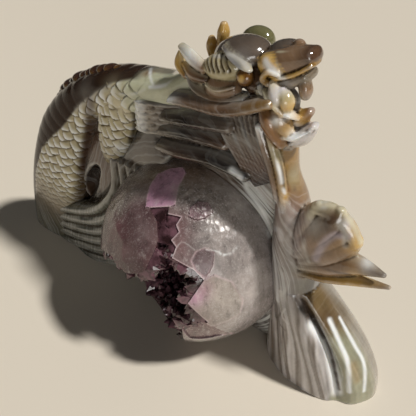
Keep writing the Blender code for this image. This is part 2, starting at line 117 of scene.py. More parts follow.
def smoothStation(stations, t):
    # Catmull-Rom through rows of numbers
    last = len(stations) - 1
    i = min(int(t), last - 1)
    f = t - i
    rows = [stations[min(max(i + k, 0), last)] for k in (-1, 0, 1, 2)]
    return [0.5 * (2 * b + (c - a) * f + (2 * a - 5 * b + 4 * c - d) * f * f
                   + (3 * b - a - 3 * c + d) * f ** 3) for a, b, c, d in zip(*rows)]


def blendTones(tones, t):
    # colour a share t of the way along a list of colours
    if len(tones) == 1:
        return tones[0]
    place = min(max(t, 0), 0.9999) * (len(tones) - 1)
    i = int(place)
    return tones[i] * (1 - place + i) + tones[i + 1] * (place - i)


def around(angle, square):
    # a place on a round or squarish rim
    x, y = math.cos(angle), math.sin(angle)
    return math.copysign(abs(x) ** square, x), math.copysign(abs(y) ** square, y)


def soften(low, high, value):
    # 0 at low and 1 at high, with an easy step between
    t = np.clip((value - low) / (high - low), 0, 1)
    return t * t * (3 - 2 * t)


class Soup:
    # points, faces and a colour for each point, gathered from many forms
    endAngles = (22, 45, 68)
    endBulge = 0.7

    def __init__(self):
        self.points, self.faces, self.tones = [], [], []

    def add(self, points, faces, tones):
        start = len(self.points)
        self.points.extend(points)
        self.tones.extend(tones)
        self.faces.extend(tuple(start + i for i in face) for face in faces)

    def limb(self, stations, colours, sides=18, step=0.8, sideAxis=(0, 1, 0), square=1.0, edge=None,
             edgeShare=0.0, ribs=0, ribDepth=0.0):
        # a limb with an oval section: x, y, z, half width across, half width towards sideAxis.
        # edge is the colour of its thin sides, and ribs run along it
        tones, edgeTone = [toneOf(colour) for colour in colours], toneOf(edge)
        length = sum((Vector(a[:3]) - Vector(b[:3])).length for a, b in zip(stations, stations[1:]))
        count = max(6, int(length / step))
        last = len(stations) - 1
        rows = [smoothStation(stations, last * k / count) for k in range(count + 1)]
        centres = [Vector(row[:3]) for row in rows]
        axis = Vector(sideAxis)
        rings, tangents = [], []
        for k, row in enumerate(rows):
            tangent = (centres[min(k + 1, count)] - centres[max(k - 1, 0)]).normalized()
            across = tangent.cross(axis).normalized()
            depth = across.cross(tangent).normalized()
            rings.append((centres[k], across * row[3], depth * row[4], k / count))
            tangents.append(tangent)
        # smaller rings and a tip round off each end
        caps, tips = [], []
        for k, way in ((0, -1), (-1, 1)):
            centre, across, depth, share = rings[k]
            reach = tangents[k] * (way * min(across.length, depth.length))
            turns = [math.radians(angle) for angle in self.endAngles]
            caps.append([(centre + reach * (math.sin(a) * self.endBulge), across * math.cos(a),
                          depth * math.cos(a), share) for a in turns])
            tips.append(centre + reach * self.endBulge)
        section = []
        for k in range(sides):
            angle = 2 * math.pi * k / sides
            a, b = around(angle, square)
            swell = 1 + ribDepth * math.cos(ribs * angle)
            rim = edgeShare * min(max((abs(math.cos(angle)) - 0.6) / 0.35, 0), 1)
            section.append((a * swell, b * swell, rim))
        start = len(self.points)
        rings = caps[0][::-1] + rings + caps[1]
        for centre, across, depth, share in rings:
            tone = blendTones(tones, share)
            for a, b, rim in section:
                self.points.append(centre + across * a + depth * b)
                self.tones.append(tone if edge is None else tone * (1 - rim) + edgeTone * rim)
        for k in range(len(rings) - 1):
            low, high = start + k * sides, start + (k + 1) * sides
            for s in range(sides):
                n = (s + 1) % sides
                self.faces.append((low + s, low + n, high + n, high + s))
        end = start + (len(rings) - 1) * sides
        for base, tip, tone, flip in ((start, tips[0], tones[0], True), (end, tips[1], tones[-1], False)):
            apex = len(self.points)
            self.points.append(tip)
            self.tones.append(tone)
            for s in range(sides):
                n = (s + 1) % sides
                self.faces.append((base + n, base + s, apex) if flip else (base + s, base + n, apex))

    def lump(self, centre, radii, colour, pitch=0.0, rows=26, columns=40):
        # an oval stone, pitched up towards +X
        turn = Matrix.Rotation(math.radians(-pitch), 3, "Y")
        start, centre, tone = len(self.points), Vector(centre), toneOf(colour)
        for i in range(rows + 1):
            lat = math.pi * (i / rows - 0.5)
            for j in range(columns):
                lon = 2 * math.pi * j / columns
                p = Vector((radii[0] * math.cos(lat) * math.cos(lon),
                            radii[1] * math.cos(lat) * math.sin(lon),
                            radii[2] * math.sin(lat)))
                self.points.append(centre + turn @ p)
                self.tones.append(tone)
        for i in range(rows):
            for j in range(columns):
                n = (j + 1) % columns
                a, b = start + i * columns, start + (i + 1) * columns
                self.faces.append((a + j, a + n, b + n, b + j))


def newObject(name, data):
    obj = bpy.data.objects.new(name, data)
    bpy.context.scene.collection.objects.link(obj)
    return obj


def openMesh(mesh):
    bm = bmesh.new()
    bm.from_mesh(mesh)
    return bm


def closeMesh(bm, mesh):
    bm.to_mesh(mesh)
    bm.free()


def meshFrom(name, points, faces, weld=True):
    mesh = bpy.data.meshes.new(name)
    mesh.from_pydata([tuple(p) for p in points], [], faces)
    bm = openMesh(mesh)
    if weld:
        bmesh.ops.remove_doubles(bm, verts=bm.verts, dist=1e-5)
    bmesh.ops.recalc_face_normals(bm, faces=bm.faces)
    closeMesh(bm, mesh)
    return newObject(name, mesh)


def bake(obj):
    # the object's mesh becomes what its modifiers make of it
    graph = bpy.context.evaluated_depsgraph_get()
    graph.update()
    mesh = bpy.data.meshes.new_from_object(obj.evaluated_get(graph))
    obj.modifiers.clear()
    obj.data = mesh


def modify(obj, kind, **settings):
    modifier = obj.modifiers.new(kind.lower(), kind)
    for name, value in settings.items():
        setattr(modifier, name, value)
    bake(obj)


def fuse(obj, voxel):
    modify(obj, "REMESH", mode="VOXEL", voxel_size=voxel)


def smoothen(obj, rounds=1):
    modify(obj, "SMOOTH", factor=0.5, iterations=rounds)


def cut(obj, *others):
    # takes each of the others out of the object
    for other in others:
        modify(obj, "BOOLEAN", operation="DIFFERENCE", solver="MANIFOLD", object=other)
        bpy.data.objects.remove(other)


def dropBelow(obj):
    # flat cut along the ground
    bm = openMesh(obj.data)
    made = bmesh.ops.bisect_plane(bm, geom=bm.verts[:] + bm.edges[:] + bm.faces[:], plane_co=(0, 0, 0),
                                  plane_no=(0, 0, 1), clear_inner=True)
    rim = [e for e in made["geom_cut"] if isinstance(e, bmesh.types.BMEdge)]
    bmesh.ops.holes_fill(bm, edges=rim, sides=0)
    closeMesh(bm, obj.data)


def readPoints(mesh, what="co"):
    flat = np.empty(len(mesh.vertices) * 3)
    mesh.vertices.foreach_get(what, flat)
    return flat.reshape(-1, 3)


def spread(mesh, values, rounds):
    # average over each point's neighbours
    edges = np.empty(len(mesh.edges) * 2, dtype=np.int64)
    mesh.edges.foreach_get("vertices", edges)
    edges = edges.reshape(-1, 2)
    a, b = edges[:, 0], edges[:, 1]
    size = len(values)
    count = np.bincount(edges.ravel(), minlength=size)
    for _ in range(rounds):
        total = np.zeros_like(values)
        for axis in range(values.shape[1]):
            total[:, axis] = np.bincount(a, values[b, axis], size) + np.bincount(b, values[a, axis], size)
        values = (values + total) / (count[:, None] + 1)
    return values


def hollows(mesh, rounds=8):
    # above nought in grooves and below it on ridges, in millimetres
    points, normals = readPoints(mesh), readPoints(mesh, "normal")
    return ((spread(mesh, points, rounds) - points) * normals).sum(1)


def fusedPiece(name, soup, voxel):
    # all the forms as one skin, with its points and their colours
    obj = meshFrom(name, soup.points, soup.faces)
    fuse(obj, voxel)
    smoothen(obj)
    points = readPoints(obj.data)
    return obj, points, nearestTones(soup, points)


def nearestTones(soup, points):
    # each point takes the colour of the form it lies on, from the three points nearest to it
    tree = KDTree(len(soup.points))
    for i, p in enumerate(soup.points):
        tree.insert(p, i)
    tree.balance()
    found = [[(index, distance) for _, index, distance in tree.find_n(p, 3)] for p in points.tolist()]
    found = np.array(found)
    weights = 1 / (found[:, :, 1] ** 2 + 0.05)
    tones = np.array(soup.tones)[found[:, :, 0].astype(int)]
    return (tones * weights[..., None]).sum(1) / weights.sum(1)[:, None]


def shade(colours, colour, share, light=1.0):
    # moves each point's colour a share of the way towards one colour, which light makes brighter or darker
    colours += (toneOf(colour) * light - colours) * np.reshape(share, (-1, 1))


def away(points, centre, radii):
    # how many radii each point is from a centre, squared
    return (((points - np.array(centre)) / radii) ** 2).sum(1)


def lineGap(points, path):
    # distance of each point from a bent line, in millimetres
    gap = np.full(len(points), farOff)
    path = np.array(path, dtype=float)
    for a, b in zip(path, path[1:]):
        along = b - a
        t = np.clip(((points - a) @ along) / (along @ along), 0, 1)
        gap = np.minimum(gap, np.linalg.norm(points - (a + t[:, None] * along), axis=1))
    return gap


def paint(points, colours, spots, veins=()):
    # spots are soft patches and veins are bands of colour along a line
    for centre, radius, name, strength in spots:
        shade(colours, name, strength * np.exp(-away(points, centre, radius)))
    for path, halfWidth, name, strength in veins:
        steps = 4 * (len(path) - 1)
        bent = [smoothStation(path, (len(path) - 1) * k / steps) for k in range(steps + 1)]
        shade(colours, name, strength * np.exp(-(lineGap(points, bent) / halfWidth) ** 3))


def domeReach(points):
    # distance from the middle of the geode, in millimetres
    return np.linalg.norm(points - np.array(carving["domeCentre"]), axis=1)


def whiteSide(points):
    # where the white lines beside the dome show: its right-hand side
    centre = carving["domeCentre"]
    angle = np.degrees(np.arctan2(points[:, 2] - centre.z, points[:, 0] - centre.x))
    return np.clip((angle + 50) / 25, 0, 1) * np.clip((72 - angle) / 18, 0, 1)


def writeTones(mesh, colours):
    layer = mesh.attributes.new("tint", "FLOAT_COLOR", "POINT")
    rgba = np.ones((len(colours), 4))
    rgba[:, :3] = colours
    layer.data.foreach_set("color", rgba.ravel())


def writeShare(mesh, name, values, most=1):
    layer = mesh.attributes.new(name, "FLOAT", "POINT")
    layer.data.foreach_set("value", np.ascontiguousarray(np.clip(values, 0, most), dtype=np.float32))


def writeAgate(mesh, colours, groove, band, line=0.0):
    # what the agate reads at each point
    points = readPoints(mesh)
    writeTones(mesh, colours)
    for name, values in (("groove", groove), ("band", band), ("line", line)):
        writeShare(mesh, name, np.broadcast_to(values, len(points)))
    writeShare(mesh, "flow", domeReach(points), most=None)


def settle(obj, material, finish="smooth"):
    # into the frame's metres, with its material, riding on the stone's body
    x, y, z = carving["middle"]
    obj.data.transform(Matrix.Scale(millimetre, 4) @ Matrix.Translation((-x, -y, -z)))
    obj.data.materials.clear()
    obj.data.materials.append(material)
    if finish == "smooth":
        obj.data.shade_smooth()
    elif finish == "flat":
        obj.data.shade_flat()
    else:  # smooth, but with the sharp edges that are marked already
        obj.data.polygons.foreach_set("use_smooth", [True] * len(obj.data.polygons))
    obj.data.update()
    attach(obj, "root")
    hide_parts(carving["node"])
    print(obj.name, "faces", len(obj.data.polygons))


class Nodes:
    # a short way to build a node tree
    def __init__(self, tree):
        self.tree = tree

    def feed(self, node, inputs):
        # links or sets each input that is named
        for socket, value in inputs.items():
            if isinstance(value, bpy.types.NodeSocket):
                self.tree.links.new(value, node.inputs[socket])
            else:
                node.inputs[socket].default_value = value

    def add(self, kind, inputs=None, **settings):
        node = self.tree.nodes.new(kind)
        for name, value in settings.items():
            setattr(node, name, value)
        self.feed(node, inputs or {})
        return node

    def math(self, operation, a, b=0.0, clamp=False):
        return self.add("ShaderNodeMath", {0: a, 1: b}, operation=operation, use_clamp=clamp).outputs[0]

    def times(self, a, b, clamp=False):
        return self.math("MULTIPLY", a, b, clamp)

    def plus(self, a, b):
        return self.math("ADD", a, b)

    def minus(self, a, b):
        return self.math("SUBTRACT", a, b)

    def noise(self, place, scale, detail, rough=0.55, distort=0.0, dims="3D"):
        node = self.add("ShaderNodeTexNoise", {"Scale": scale, "Detail": detail, "Roughness": rough,
                                               "Distortion": distort}, noise_dimensions=dims)
        self.feed(node, {"W" if dims == "1D" else "Vector": place})
        return node.outputs["Fac"]

    def stretch(self, value, low, high, toLow=0.0, toHigh=1.0):
        inputs = {"Value": value, "From Min": low, "From Max": high, "To Min": toLow, "To Max": toHigh}
        node = self.add("ShaderNodeMapRange", inputs, clamp=True, interpolation_type="SMOOTHSTEP")
        return node.outputs["Result"]

    def mix(self, share, a, b, mode="MIX"):
        a, b = [c if isinstance(c, bpy.types.NodeSocket) else (*c, 1) for c in (a, b)]
        node = self.add("ShaderNodeMix", {0: share, 6: a, 7: b}, data_type="RGBA", blend_type=mode)
        return node.outputs[2]

    def greys(self, value, stops):
        # a ramp from one grey to the next: place, grey
        node = self.add("ShaderNodeValToRGB", {"Fac": value})
        elements = node.color_ramp.elements
        while len(elements) > 1:
            elements.remove(elements[0])
        elements[0].position = stops[0][0]
        elements[0].color = (*[stops[0][1]] * 3, 1)
        for place, grey in stops[1:]:
            elements.new(place).color = (grey, grey, grey, 1)
        return node.outputs["Color"]

    def attribute(self, name, output="Fac"):
        return self.add("ShaderNodeAttribute", attribute_name=name).outputs[output]

    def bump(self, height, strength, distance, normal=None):
        node = self.add("ShaderNodeBump", {"Strength": strength, "Distance": distance, "Height": height})
        if normal:
            self.feed(node, {"Normal": normal})
        return node.outputs["Normal"]


class PieceTree(Nodes):
    # a tree of Geometry Nodes with named inputs, which ends in real meshes of one stone
    kinds = {float: "Float", int: "Int", bpy.types.Material: "Material"}

    def __init__(self, name, material, inputs):
        super().__init__(bpy.data.node_groups.new(name, "GeometryNodeTree"))
        self.tree.is_modifier = True
        self.values = {}
        self.socket("Geometry", "INPUT", "Geometry")
        for label, value in (*inputs.items(), ("Stone", material)):
            self.values[self.socket(label, "INPUT", self.kinds[type(value)])] = value
        self.socket("Geometry", "OUTPUT", "Geometry")
        self.given = self.add("NodeGroupInput").outputs

    def socket(self, label, side, kind):
        face = self.tree.interface
        return face.new_socket(label, in_out=side, socket_type="NodeSocket" + kind).identifier

    def grow(self, obj, geometry):
        # the object's mesh becomes what the tree makes of it
        real = self.add("GeometryNodeRealizeInstances", {0: geometry})
        inStone = self.add("GeometryNodeSetMaterial", {"Geometry": real.outputs[0],
                                                       "Material": self.given["Stone"]})
        self.add("NodeGroupOutput", {0: inStone.outputs[0]})
        modifier = obj.modifiers.new("grow", "NODES")
        modifier.node_group = self.tree
        for identifier, value in self.values.items():
            modifier[identifier] = value
        bake(obj)


def newMaterial(name, settings):
    material = bpy.data.materials.new(name)
    material.use_nodes = True
    n = Nodes(material.node_tree)
    shader = material.node_tree.nodes["Principled BSDF"]
    n.feed(shader, settings)
    return material, n, shader


# Materials

agate = {
    "shader": {"Roughness": 0.14, "IOR": 1.54, "Coat Weight": 0.6, "Coat Roughness": 0.04,
               "Subsurface Weight": 0.15, "Subsurface Radius": (1.0, 0.7, 0.4), "Subsurface Scale": 0.002},
    "bandsPerMillimetre": 0.62,
    "broadPerMillimetre": 0.13,
    "linesPerMillimetre": 0.8,
    "slowBend": (38, 9.0),  # how many waves a metre bend the bands, and by how many millimetres
    "quickBend": (160, 2.0),
    "clouds": 170,
    "cloudGreys": [(0.25, 0.3), (0.5, 0.5), (0.75, 0.72)],
    "polish": 420,
    "ripples": 700,
    "rippleHeight": 0.0006,
    "white": tuple(tone(216, 218, 216)),
    "darkLine": tuple(tone(60, 50, 44)),
    "groove": tuple(tone(44, 30, 18)),
}


def agateMaterial(name):
    # each form's own colour, with bands that run at even values of its flow, bent as they grew
    material, n, shader = newMaterial(name, agate["shader"])
    coordinates = n.add("ShaderNodeTexCoord").outputs["Object"]
    flow = n.attribute("flow")
    slow, quick = [n.times(n.minus(n.noise(coordinates, waves, 2.0), 0.5), bend)
                   for waves, bend in (agate["slowBend"], agate["quickBend"])]
    warped = n.plus(n.plus(flow, slow), quick)
    fine = n.noise(warped, agate["bandsPerMillimetre"], 2.0, 0.6, dims="1D")
    broad = n.noise(warped, agate["broadPerMillimetre"], 2.0, 0.5, dims="1D")
    tint = n.attribute("tint", "Color")
    bandShare = n.attribute("band")
    light = n.times(n.stretch(fine, 0.5, 0.68), bandShare, clamp=True)
    dark = n.times(n.stretch(fine, 0.47, 0.33), bandShare, clamp=True)
    clouding = n.times(n.stretch(broad, 0.35, 0.65), n.times(bandShare, 0.5))
    colour = n.mix(clouding, tint, n.mix(0.5, tint, agate["white"]))
    colour = n.mix(n.times(light, 0.7), colour, agate["white"])
    colour = n.mix(n.times(dark, 0.6), colour, agate["darkLine"])
    # thin white lines, less bent than the bands
    straight = n.plus(flow, n.times(slow, 0.12))
    lines = n.stretch(n.noise(straight, agate["linesPerMillimetre"], 1.0, 0.5, dims="1D"), 0.48, 0.56)
    colour = n.mix(n.times(lines, n.attribute("line"), clamp=True), colour, agate["white"])
    # cloudy patches, then the grooves, darkened as painted shade
    cloud = n.noise(coordinates, agate["clouds"], 5.0, 0.6)
    colour = n.mix(0.4, colour, n.greys(cloud, agate["cloudGreys"]), "OVERLAY")
    shadedMattGrooves = n.attribute("groove")
    polish = n.noise(coordinates, agate["polish"], 3.0)
    ripple = n.noise(coordinates, agate["ripples"], 3.0)
    n.feed(shader, {
        # the grooves take the dark groove colour: painted shade in the hollows
        "Base Color": n.mix(shadedMattGrooves, colour, agate["groove"]),
        # what is cut away and not polished again shines less
        "Coat Weight": n.stretch(shadedMattGrooves, 0.0, 0.5, 0.6, 0.03),
        "Specular IOR Level": n.stretch(shadedMattGrooves, 0.0, 0.5, 0.5, 0.08),
        "Roughness": n.stretch(polish, 0.3, 0.75, 0.06, 0.22),
        "Normal": n.bump(ripple, 0.16, agate["rippleHeight"]),
    })
    return material


quartz = {
    "shader": {"Roughness": 0.16, "IOR": 1.54, "Coat Weight": 0.25, "Coat Roughness": 0.05,
               "Subsurface Weight": 0.2, "Subsurface Radius": (1.0, 0.75, 0.7), "Subsurface Scale": 0.003},
    "clouds": 70,
    "cloudGreys": [(0.3, 0.26), (0.5, 0.5), (0.7, 0.72)],
    "mottle": 330,
    "grain": 420.0,
    "grainHeight": 0.0012,
    "speck": 1300.0,
    "speckHeight": 0.0005,
    "streakTurn": (0.5, 0.9, 0.3),
    "streakScale": (1.0, 1.0, 0.4),
    "dark": tuple(tone(58, 44, 40)),
    "light": tuple(tone(214, 206, 202)),
    "groove": tuple(tone(40, 24, 26)),
    "edge": tuple(tone(222, 196, 200)),
    "wall": tuple(tone(62, 34, 40)),
}


def quartzMaterial(name):
    # the polished outside of the dome: quartz grains cut across, cloudy, streaked and frosted, with painted
    # glints where it is frosted
    material, n, shader = newMaterial(name, quartz["shader"])
    coordinates = n.add("ShaderNodeTexCoord").outputs["Object"]
    tint = n.attribute("tint", "Color")
    frost = n.attribute("frost")
    streaked = n.add("ShaderNodeMapping", {"Vector": coordinates, "Rotation": quartz["streakTurn"],
                                           "Scale": quartz["streakScale"]}).outputs[0]
    cloud = n.noise(coordinates, quartz["clouds"], 6.0, 0.62, 0.6)
    mottle = n.noise(streaked, quartz["mottle"], 6.0, 0.72)
    speck = n.noise(coordinates, quartz["speck"], 4.0, 0.75)
    grain = n.add("ShaderNodeTexVoronoi", {"Vector": streaked, "Scale": quartz["grain"]}, feature="F1")
    colour = n.mix(0.85, tint, n.greys(cloud, quartz["cloudGreys"]), "OVERLAY")
    colour = n.mix(n.stretch(mottle, 0.5, 0.3, 0.0, 0.5), colour, quartz["dark"])
    colour = n.mix(n.stretch(mottle, 0.52, 0.7, 0.0, 0.35), colour, quartz["light"])
    # white specks, most where the grain is frosted: painted glints
    glitter = n.times(n.stretch(speck, 0.52, 0.64), n.plus(n.times(frost, 0.75), 0.1))
    colour = n.mix(glitter, colour, quartz["light"])
    # the hollow darker, partly its own colour and partly painted shade, and its broken edges pale, partly a
    # painted highlight
    colour = n.mix(n.attribute("groove"), colour, quartz["groove"])
    colour = n.mix(n.attribute("edge"), colour, quartz["edge"])
    grainRelief = n.times(grain.outputs["Distance"], n.plus(n.times(frost, 0.9), 0.1))
    rough = n.bump(speck, 0.2, quartz["speckHeight"])
    n.feed(shader, {
        # the broken walls take the dark wall colour: partly their own colour, partly painted shade
        "Base Color": n.mix(n.times(n.attribute("wall"), 0.8), colour, quartz["wall"]),
        "Roughness": n.stretch(speck, 0.35, 0.65, 0.08, 0.3),
        "Normal": n.bump(grainRelief, 0.5, quartz["grainHeight"], rough),
    })
    return material


crystal = {
    "shader": {"Roughness": 0.07, "IOR": 1.54, "Coat Weight": 0.4, "Coat Roughness": 0.03,
               "Transmission Weight": 0.15, "Subsurface Weight": 0.1, "Subsurface Radius": (1.0, 0.7, 0.8),
               "Subsurface Scale": 0.004},
    "clouds": 150,
    "flaws": 700,
    "flawGreys": [(0.35, 0.3), (0.7, 0.75)],
    "flawHeight": 0.0005,
    "darkWine": tuple(tone(48, 28, 30)),
    "paleWine": tuple(tone(122, 86, 96)),
}


def crystalMaterial(name):
    # amethyst points: cloudy wine and lilac, with flaws inside
    material, n, shader = newMaterial(name, crystal["shader"])
    coordinates = n.add("ShaderNodeTexCoord").outputs["Object"]
    cloud = n.noise(coordinates, crystal["clouds"], 4.0, 0.6)
    colour = n.mix(n.stretch(cloud, 0.35, 0.65), crystal["darkWine"], crystal["paleWine"])
    flaw = n.noise(coordinates, crystal["flaws"], 3.0, 0.7)
    n.feed(shader, {
        "Base Color": n.mix(0.35, colour, n.greys(flaw, crystal["flawGreys"]), "OVERLAY"),
        "Normal": n.bump(flaw, 0.1, crystal["flawHeight"]),
    })
    return material


bandedAgate = agateMaterial("banded agate")
domeQuartz = quartzMaterial("cut quartz")
wineCrystal = crystalMaterial("wine amethyst")
print("materials ready")


# The arched body with its scales. A path's stations are x, y, z, half width across and half depth;
# spots are centre, radius, colour and strength; veins are path, half width, colour and strength

body = {
    "path": [
        (-83, 9, -4, 17, 11.5), (-78, 9, 22, 17, 11.5), (-70, 9, 45.5, 16.5, 11.5),
        (-59.5, 9, 68.5, 14.2, 11), (-45.5, 9, 88, 9.6, 10.5), (-27, 9, 99, 8.6, 10), (-10, 9, 104, 8, 9),
        (6, 9, 109, 6.5, 8), (18, 9, 117, 6, 7),
    ],
    "square": 0.75,
    "rings": 470,
    "sides": 164,
    "leafWidth": 7.6,
    "rowLow": 2.0,
    "rowHigh": 3.4,
    "relief": 0.85,
    "scallop": 0.18,
    "spineLine": [
        (-4, 112), (-12, 110), (-20, 106.8), (-26, 102.8), (-33.5, 97), (-40.7, 90.6), (-46.4, 84),
        (-52.6, 76.8), (-61, 69), (-71, 59), (-82, 40), (-92, 10),
    ],
    "spots": [
        ((-7, 6, 113), 2.2, "amber", 0.7), ((-20, -1, 105), 5, "ivory", 0.4),
        ((-35, -1, 99), 5, "pale", 0.4),
    ],
    "veins": [
        ([(-9, 10, 113), (-4, 4, 113), (0, 1, 111.5)], 0.7, "white", 0.8),
        ([(-2, 1, 110.5), (5, 2.5, 113), (9, 5, 116)], 0.8, "white", 0.8),
        ([(-16, 0, 104), (-9, 0.5, 106), (-4, 1.5, 109)], 0.7, "white", 0.6),
        ([(-42, -2, 89), (-34, -2, 96), (-27, -1, 101.6), (-21, 0, 105.6)], 1.3, "pale", 0.5),
        ([(-32, -2, 96), (-33.9, -1.1, 90.3), (-39.7, 2.5, 80.4), (-43.9, 3.5, 70.6), (-47.4, 3.8, 61),
          (-50, 3.5, 53)], 2.6, "spine", 0.8),
    ],
}
haunch = {
    "path": [
        (-18, 7, 104, 9, 8), (-23, 7, 92, 9.5, 8), (-26, 7, 82, 8.6, 8), (-29, 7, 73, 6.6, 7),
        (-32, 7, 65, 3.2, 5),
    ],
    "square": 0.85,
    "rings": 150,
    "sides": 120,
    "leafWidth": 6.6,
    "row": 2.7,
    "skew": 0.5,
    "relief": 0.75,
    "spots": [((-15, 0, 98), 6, "ivory", 0.6), ((-20, 0, 76), 3.2, "white", 0.8)],
    # the deep line down its right-hand edge is painted shade in the groove beside the belly plates
    "veins": [([(-13, 2, 101), (-12.4, 3, 95), (-14, 4, 88), (-18, 4, 80)], 1.4, "deep", 0.85)],
}


def unitRows(rows):
    return rows / np.linalg.norm(rows, axis=1)[:, None]


def squarish(wave, square):
    return np.sign(wave) * np.abs(wave) ** square


def evenAngles(count, square, a, b):
    # angles that space points evenly round a squarish oval
    fine = np.linspace(0, 2 * math.pi, 2881)  # every eighth of a degree
    x, y = a * squarish(np.cos(fine), square), b * squarish(np.sin(fine), square)
    run = np.concatenate([[0], np.cumsum(np.hypot(np.diff(x), np.diff(y)))])
    return np.interp(np.linspace(0, run[-1], count + 1)[:-1], run, fine)


def leafScales(rows, across):
    # overlapping leaf-shaped scales: height of the relief, and how near a point is to a groove
    height = np.zeros_like(rows)
    gap = np.full_like(rows, 9.0)
    settled = np.zeros(rows.shape, bool)
    base = np.floor(rows)
    for step in (3, 2, 1, 0, -1):
        j = base + step
        offset = np.where(np.mod(j, 2) == 0, 0.0, 0.5) + 0.13 * np.sin(j * 2.4)
        dx = (across - offset) - np.round(across - offset)
        edge = j - 1.75 * np.clip(1 - (np.abs(dx) / 0.56) ** 1.4, 0, 1) ** 0.8
        over = rows > edge
        fresh = over & ~settled
        t = np.where(fresh, rows - edge, 0)
        height = np.where(fresh, 1 - 0.75 * np.clip(t / 1.6, 0, 1) - 0.25 * np.abs(dx) * 2, height)
        settled |= over
        gap = np.where(~settled, np.minimum(gap, edge - rows), gap)
    groove = np.exp(-(gap / 0.24) ** 2)
    return height - 0.7 * groove, groove


def tube(settings):
    # rings of points round a path, with what is needed to lay scales on them
    last, rings = len(settings["path"]) - 1, settings["rings"]
    rows = np.array([smoothStation(settings["path"], last * k / rings) for k in range(rings + 1)])
    centres = rows[:, :3]
    tangents = unitRows(np.gradient(centres, axis=0))
    across = unitRows(np.cross(tangents, (0, 1, 0)))
    depth = np.cross(across, tangents)
    run = np.concatenate([[0], np.cumsum(np.linalg.norm(np.diff(centres, axis=0), axis=1))])
    angles = evenAngles(settings["sides"], settings["square"], rows[:, 3].mean(), rows[:, 4].mean())
    c, s = squarish(np.cos(angles), settings["square"]), squarish(np.sin(angles), settings["square"])
    ringDirection = across[:, None, :] * (rows[:, 3, None, None] * c[None, :, None])
    ringDirection = ringDirection + depth[:, None, :] * (rows[:, 4, None, None] * s[None, :, None])
    points = centres[:, None, :] + ringDirection
    alongSteps = np.gradient(points, axis=0)
    roundSteps = np.roll(points, -1, axis=1) - np.roll(points, 1, axis=1)
    normals = np.cross(roundSteps, alongSteps)
    normals /= np.linalg.norm(normals, axis=2)[..., None] + 1e-9
    outward = (normals * ringDirection).sum(2)
    normals *= np.sign(outward)[..., None]
    return {"points": points, "normals": normals, "rows": rows, "run": run, "c": c, "s": s,
            "centres": centres, "tangents": tangents}


def tubeObject(name, points):
    rings, sides = points.shape[:2]
    faces = []
    for k in range(rings - 1):
        for s in range(sides):
            n = (s + 1) % sides
            faces.append((k * sides + s, k * sides + n, (k + 1) * sides + n, (k + 1) * sides + s))
    faces.append(tuple(reversed(range(sides))))
    faces.append(tuple((rings - 1) * sides + s for s in range(sides)))
    return meshFrom(name, points.reshape(-1, 3), faces, weld=False)


def beyondSpine(points):
    # how far past the edge of the dark spine each point is, as seen from the front
    beyond = np.full(points.shape[:2], -farOff)
    near = np.full(points.shape[:2], farOff)
    for (ax, az), (bx, bz) in zip(body["spineLine"], body["spineLine"][1:]):
        x, z = points[..., 0] - ax, points[..., 2] - az
        dx, dz = bx - ax, bz - az
        f = np.clip((x * dx + z * dz) / (dx * dx + dz * dz), 0, 1)
        gap = np.hypot(x - f * dx, z - f * dz)
        beyond = np.where(gap < near, gap * np.sign(x * dz - z * dx), beyond)
        near = np.minimum(gap, near)
    return beyond


def makeBody():
    t = tube(body)
    run = t["run"][:, None] * np.ones(body["sides"])
    width = t["rows"][:, 3, None] * t["c"][None, :]
    front = soften(0.05, 0.35, -t["s"])[None, :]
    share = run / run.max()
    # rows of scales widen as the body climbs
    climb = soften(0.2, 0.46, t["run"] / t["run"].max())
    pitch = body["rowLow"] + (body["rowHigh"] - body["rowLow"]) * climb
    rowCount = np.concatenate([[0], np.cumsum(np.diff(t["run"]) / pitch[1:])])
    rowCount = rowCount[:, None] * np.ones(body["sides"])
    sag = 0.9 * (width / 12.0) ** 2
    height, groove = leafScales(rowCount + sag * 0.5, width / body["leafWidth"] + 0.25)
    spine = soften(-0.6, 0.8, beyondSpine(t["points"])) * soften(-6, -13, t["points"][..., 0])
    fade = soften(0.12, 0.3, share) * (1 - soften(0.79, 0.87, share))
    scaled = front * fade * (1 - spine)
    relief = body["relief"] * height * scaled
    # broad scallops in the dark spine
    ripple = body["scallop"] * np.abs(np.sin(np.pi * rowCount * 0.5)) * spine * soften(0.3, 0.5, share)
    points = t["points"] + t["normals"] * (relief + ripple)[..., None]
    obj = tubeObject("archedBody", points)

    flat = points.reshape(-1, 3)
    low = soften(0.1, 0.34, share)
    lift = 0.5 + 0.5 * height
    colours = np.tile(stone["taupe"], (len(flat), 1))
    shade(colours, "cream", low)
    # each scale is darkened low down as painted shade, white at its free edge as a painted highlight, and
    # ochre where the next one covers it, partly painted shade
    colours *= (0.44 + 0.58 * lift).reshape(-1, 1)
    shade(colours, "white", soften(0.74, 0.96, lift) * scaled * low * 0.9)
    shade(colours, "ochre", soften(0.7, 0.1, lift) * scaled * low * 0.7, 0.8)
    top = soften(0.75, 0.83, share)
    shade(colours, "green", top)
    back = 1 - front * np.ones_like(share)
    shade(colours, "greyBrown", back * 0.8)
    shade(colours, "spine", spine, 0.6)
    rim = np.exp(-((spine - 0.35) / 0.2) ** 2) * soften(0.3, 0.5, share)
    shade(colours, "pale", rim * 0.2)
    base = 1 - soften(0.06, 0.2, share)
    shade(colours, "moss", base * 0.8)
    # darker brown on the inner side, where the body turns in beside the haunch: painted shade between the
    # parts
    inner = soften(0.78, 0.97, -t["c"]) * soften(0.1, 0.3, share)
    shade(colours, "brown", inner * 0.85, 0.7)
    paint(flat, colours, body["spots"], body["veins"])
    band = 0.35 * base + 0.08 * top
    # the grooves between the scales darken in the material as painted shade; the spine takes half of that
    writeAgate(obj.data, colours, (groove * scaled + 0.5 * spine).ravel(), band.ravel())
    dropBelow(obj)
    settle(obj, bandedAgate)


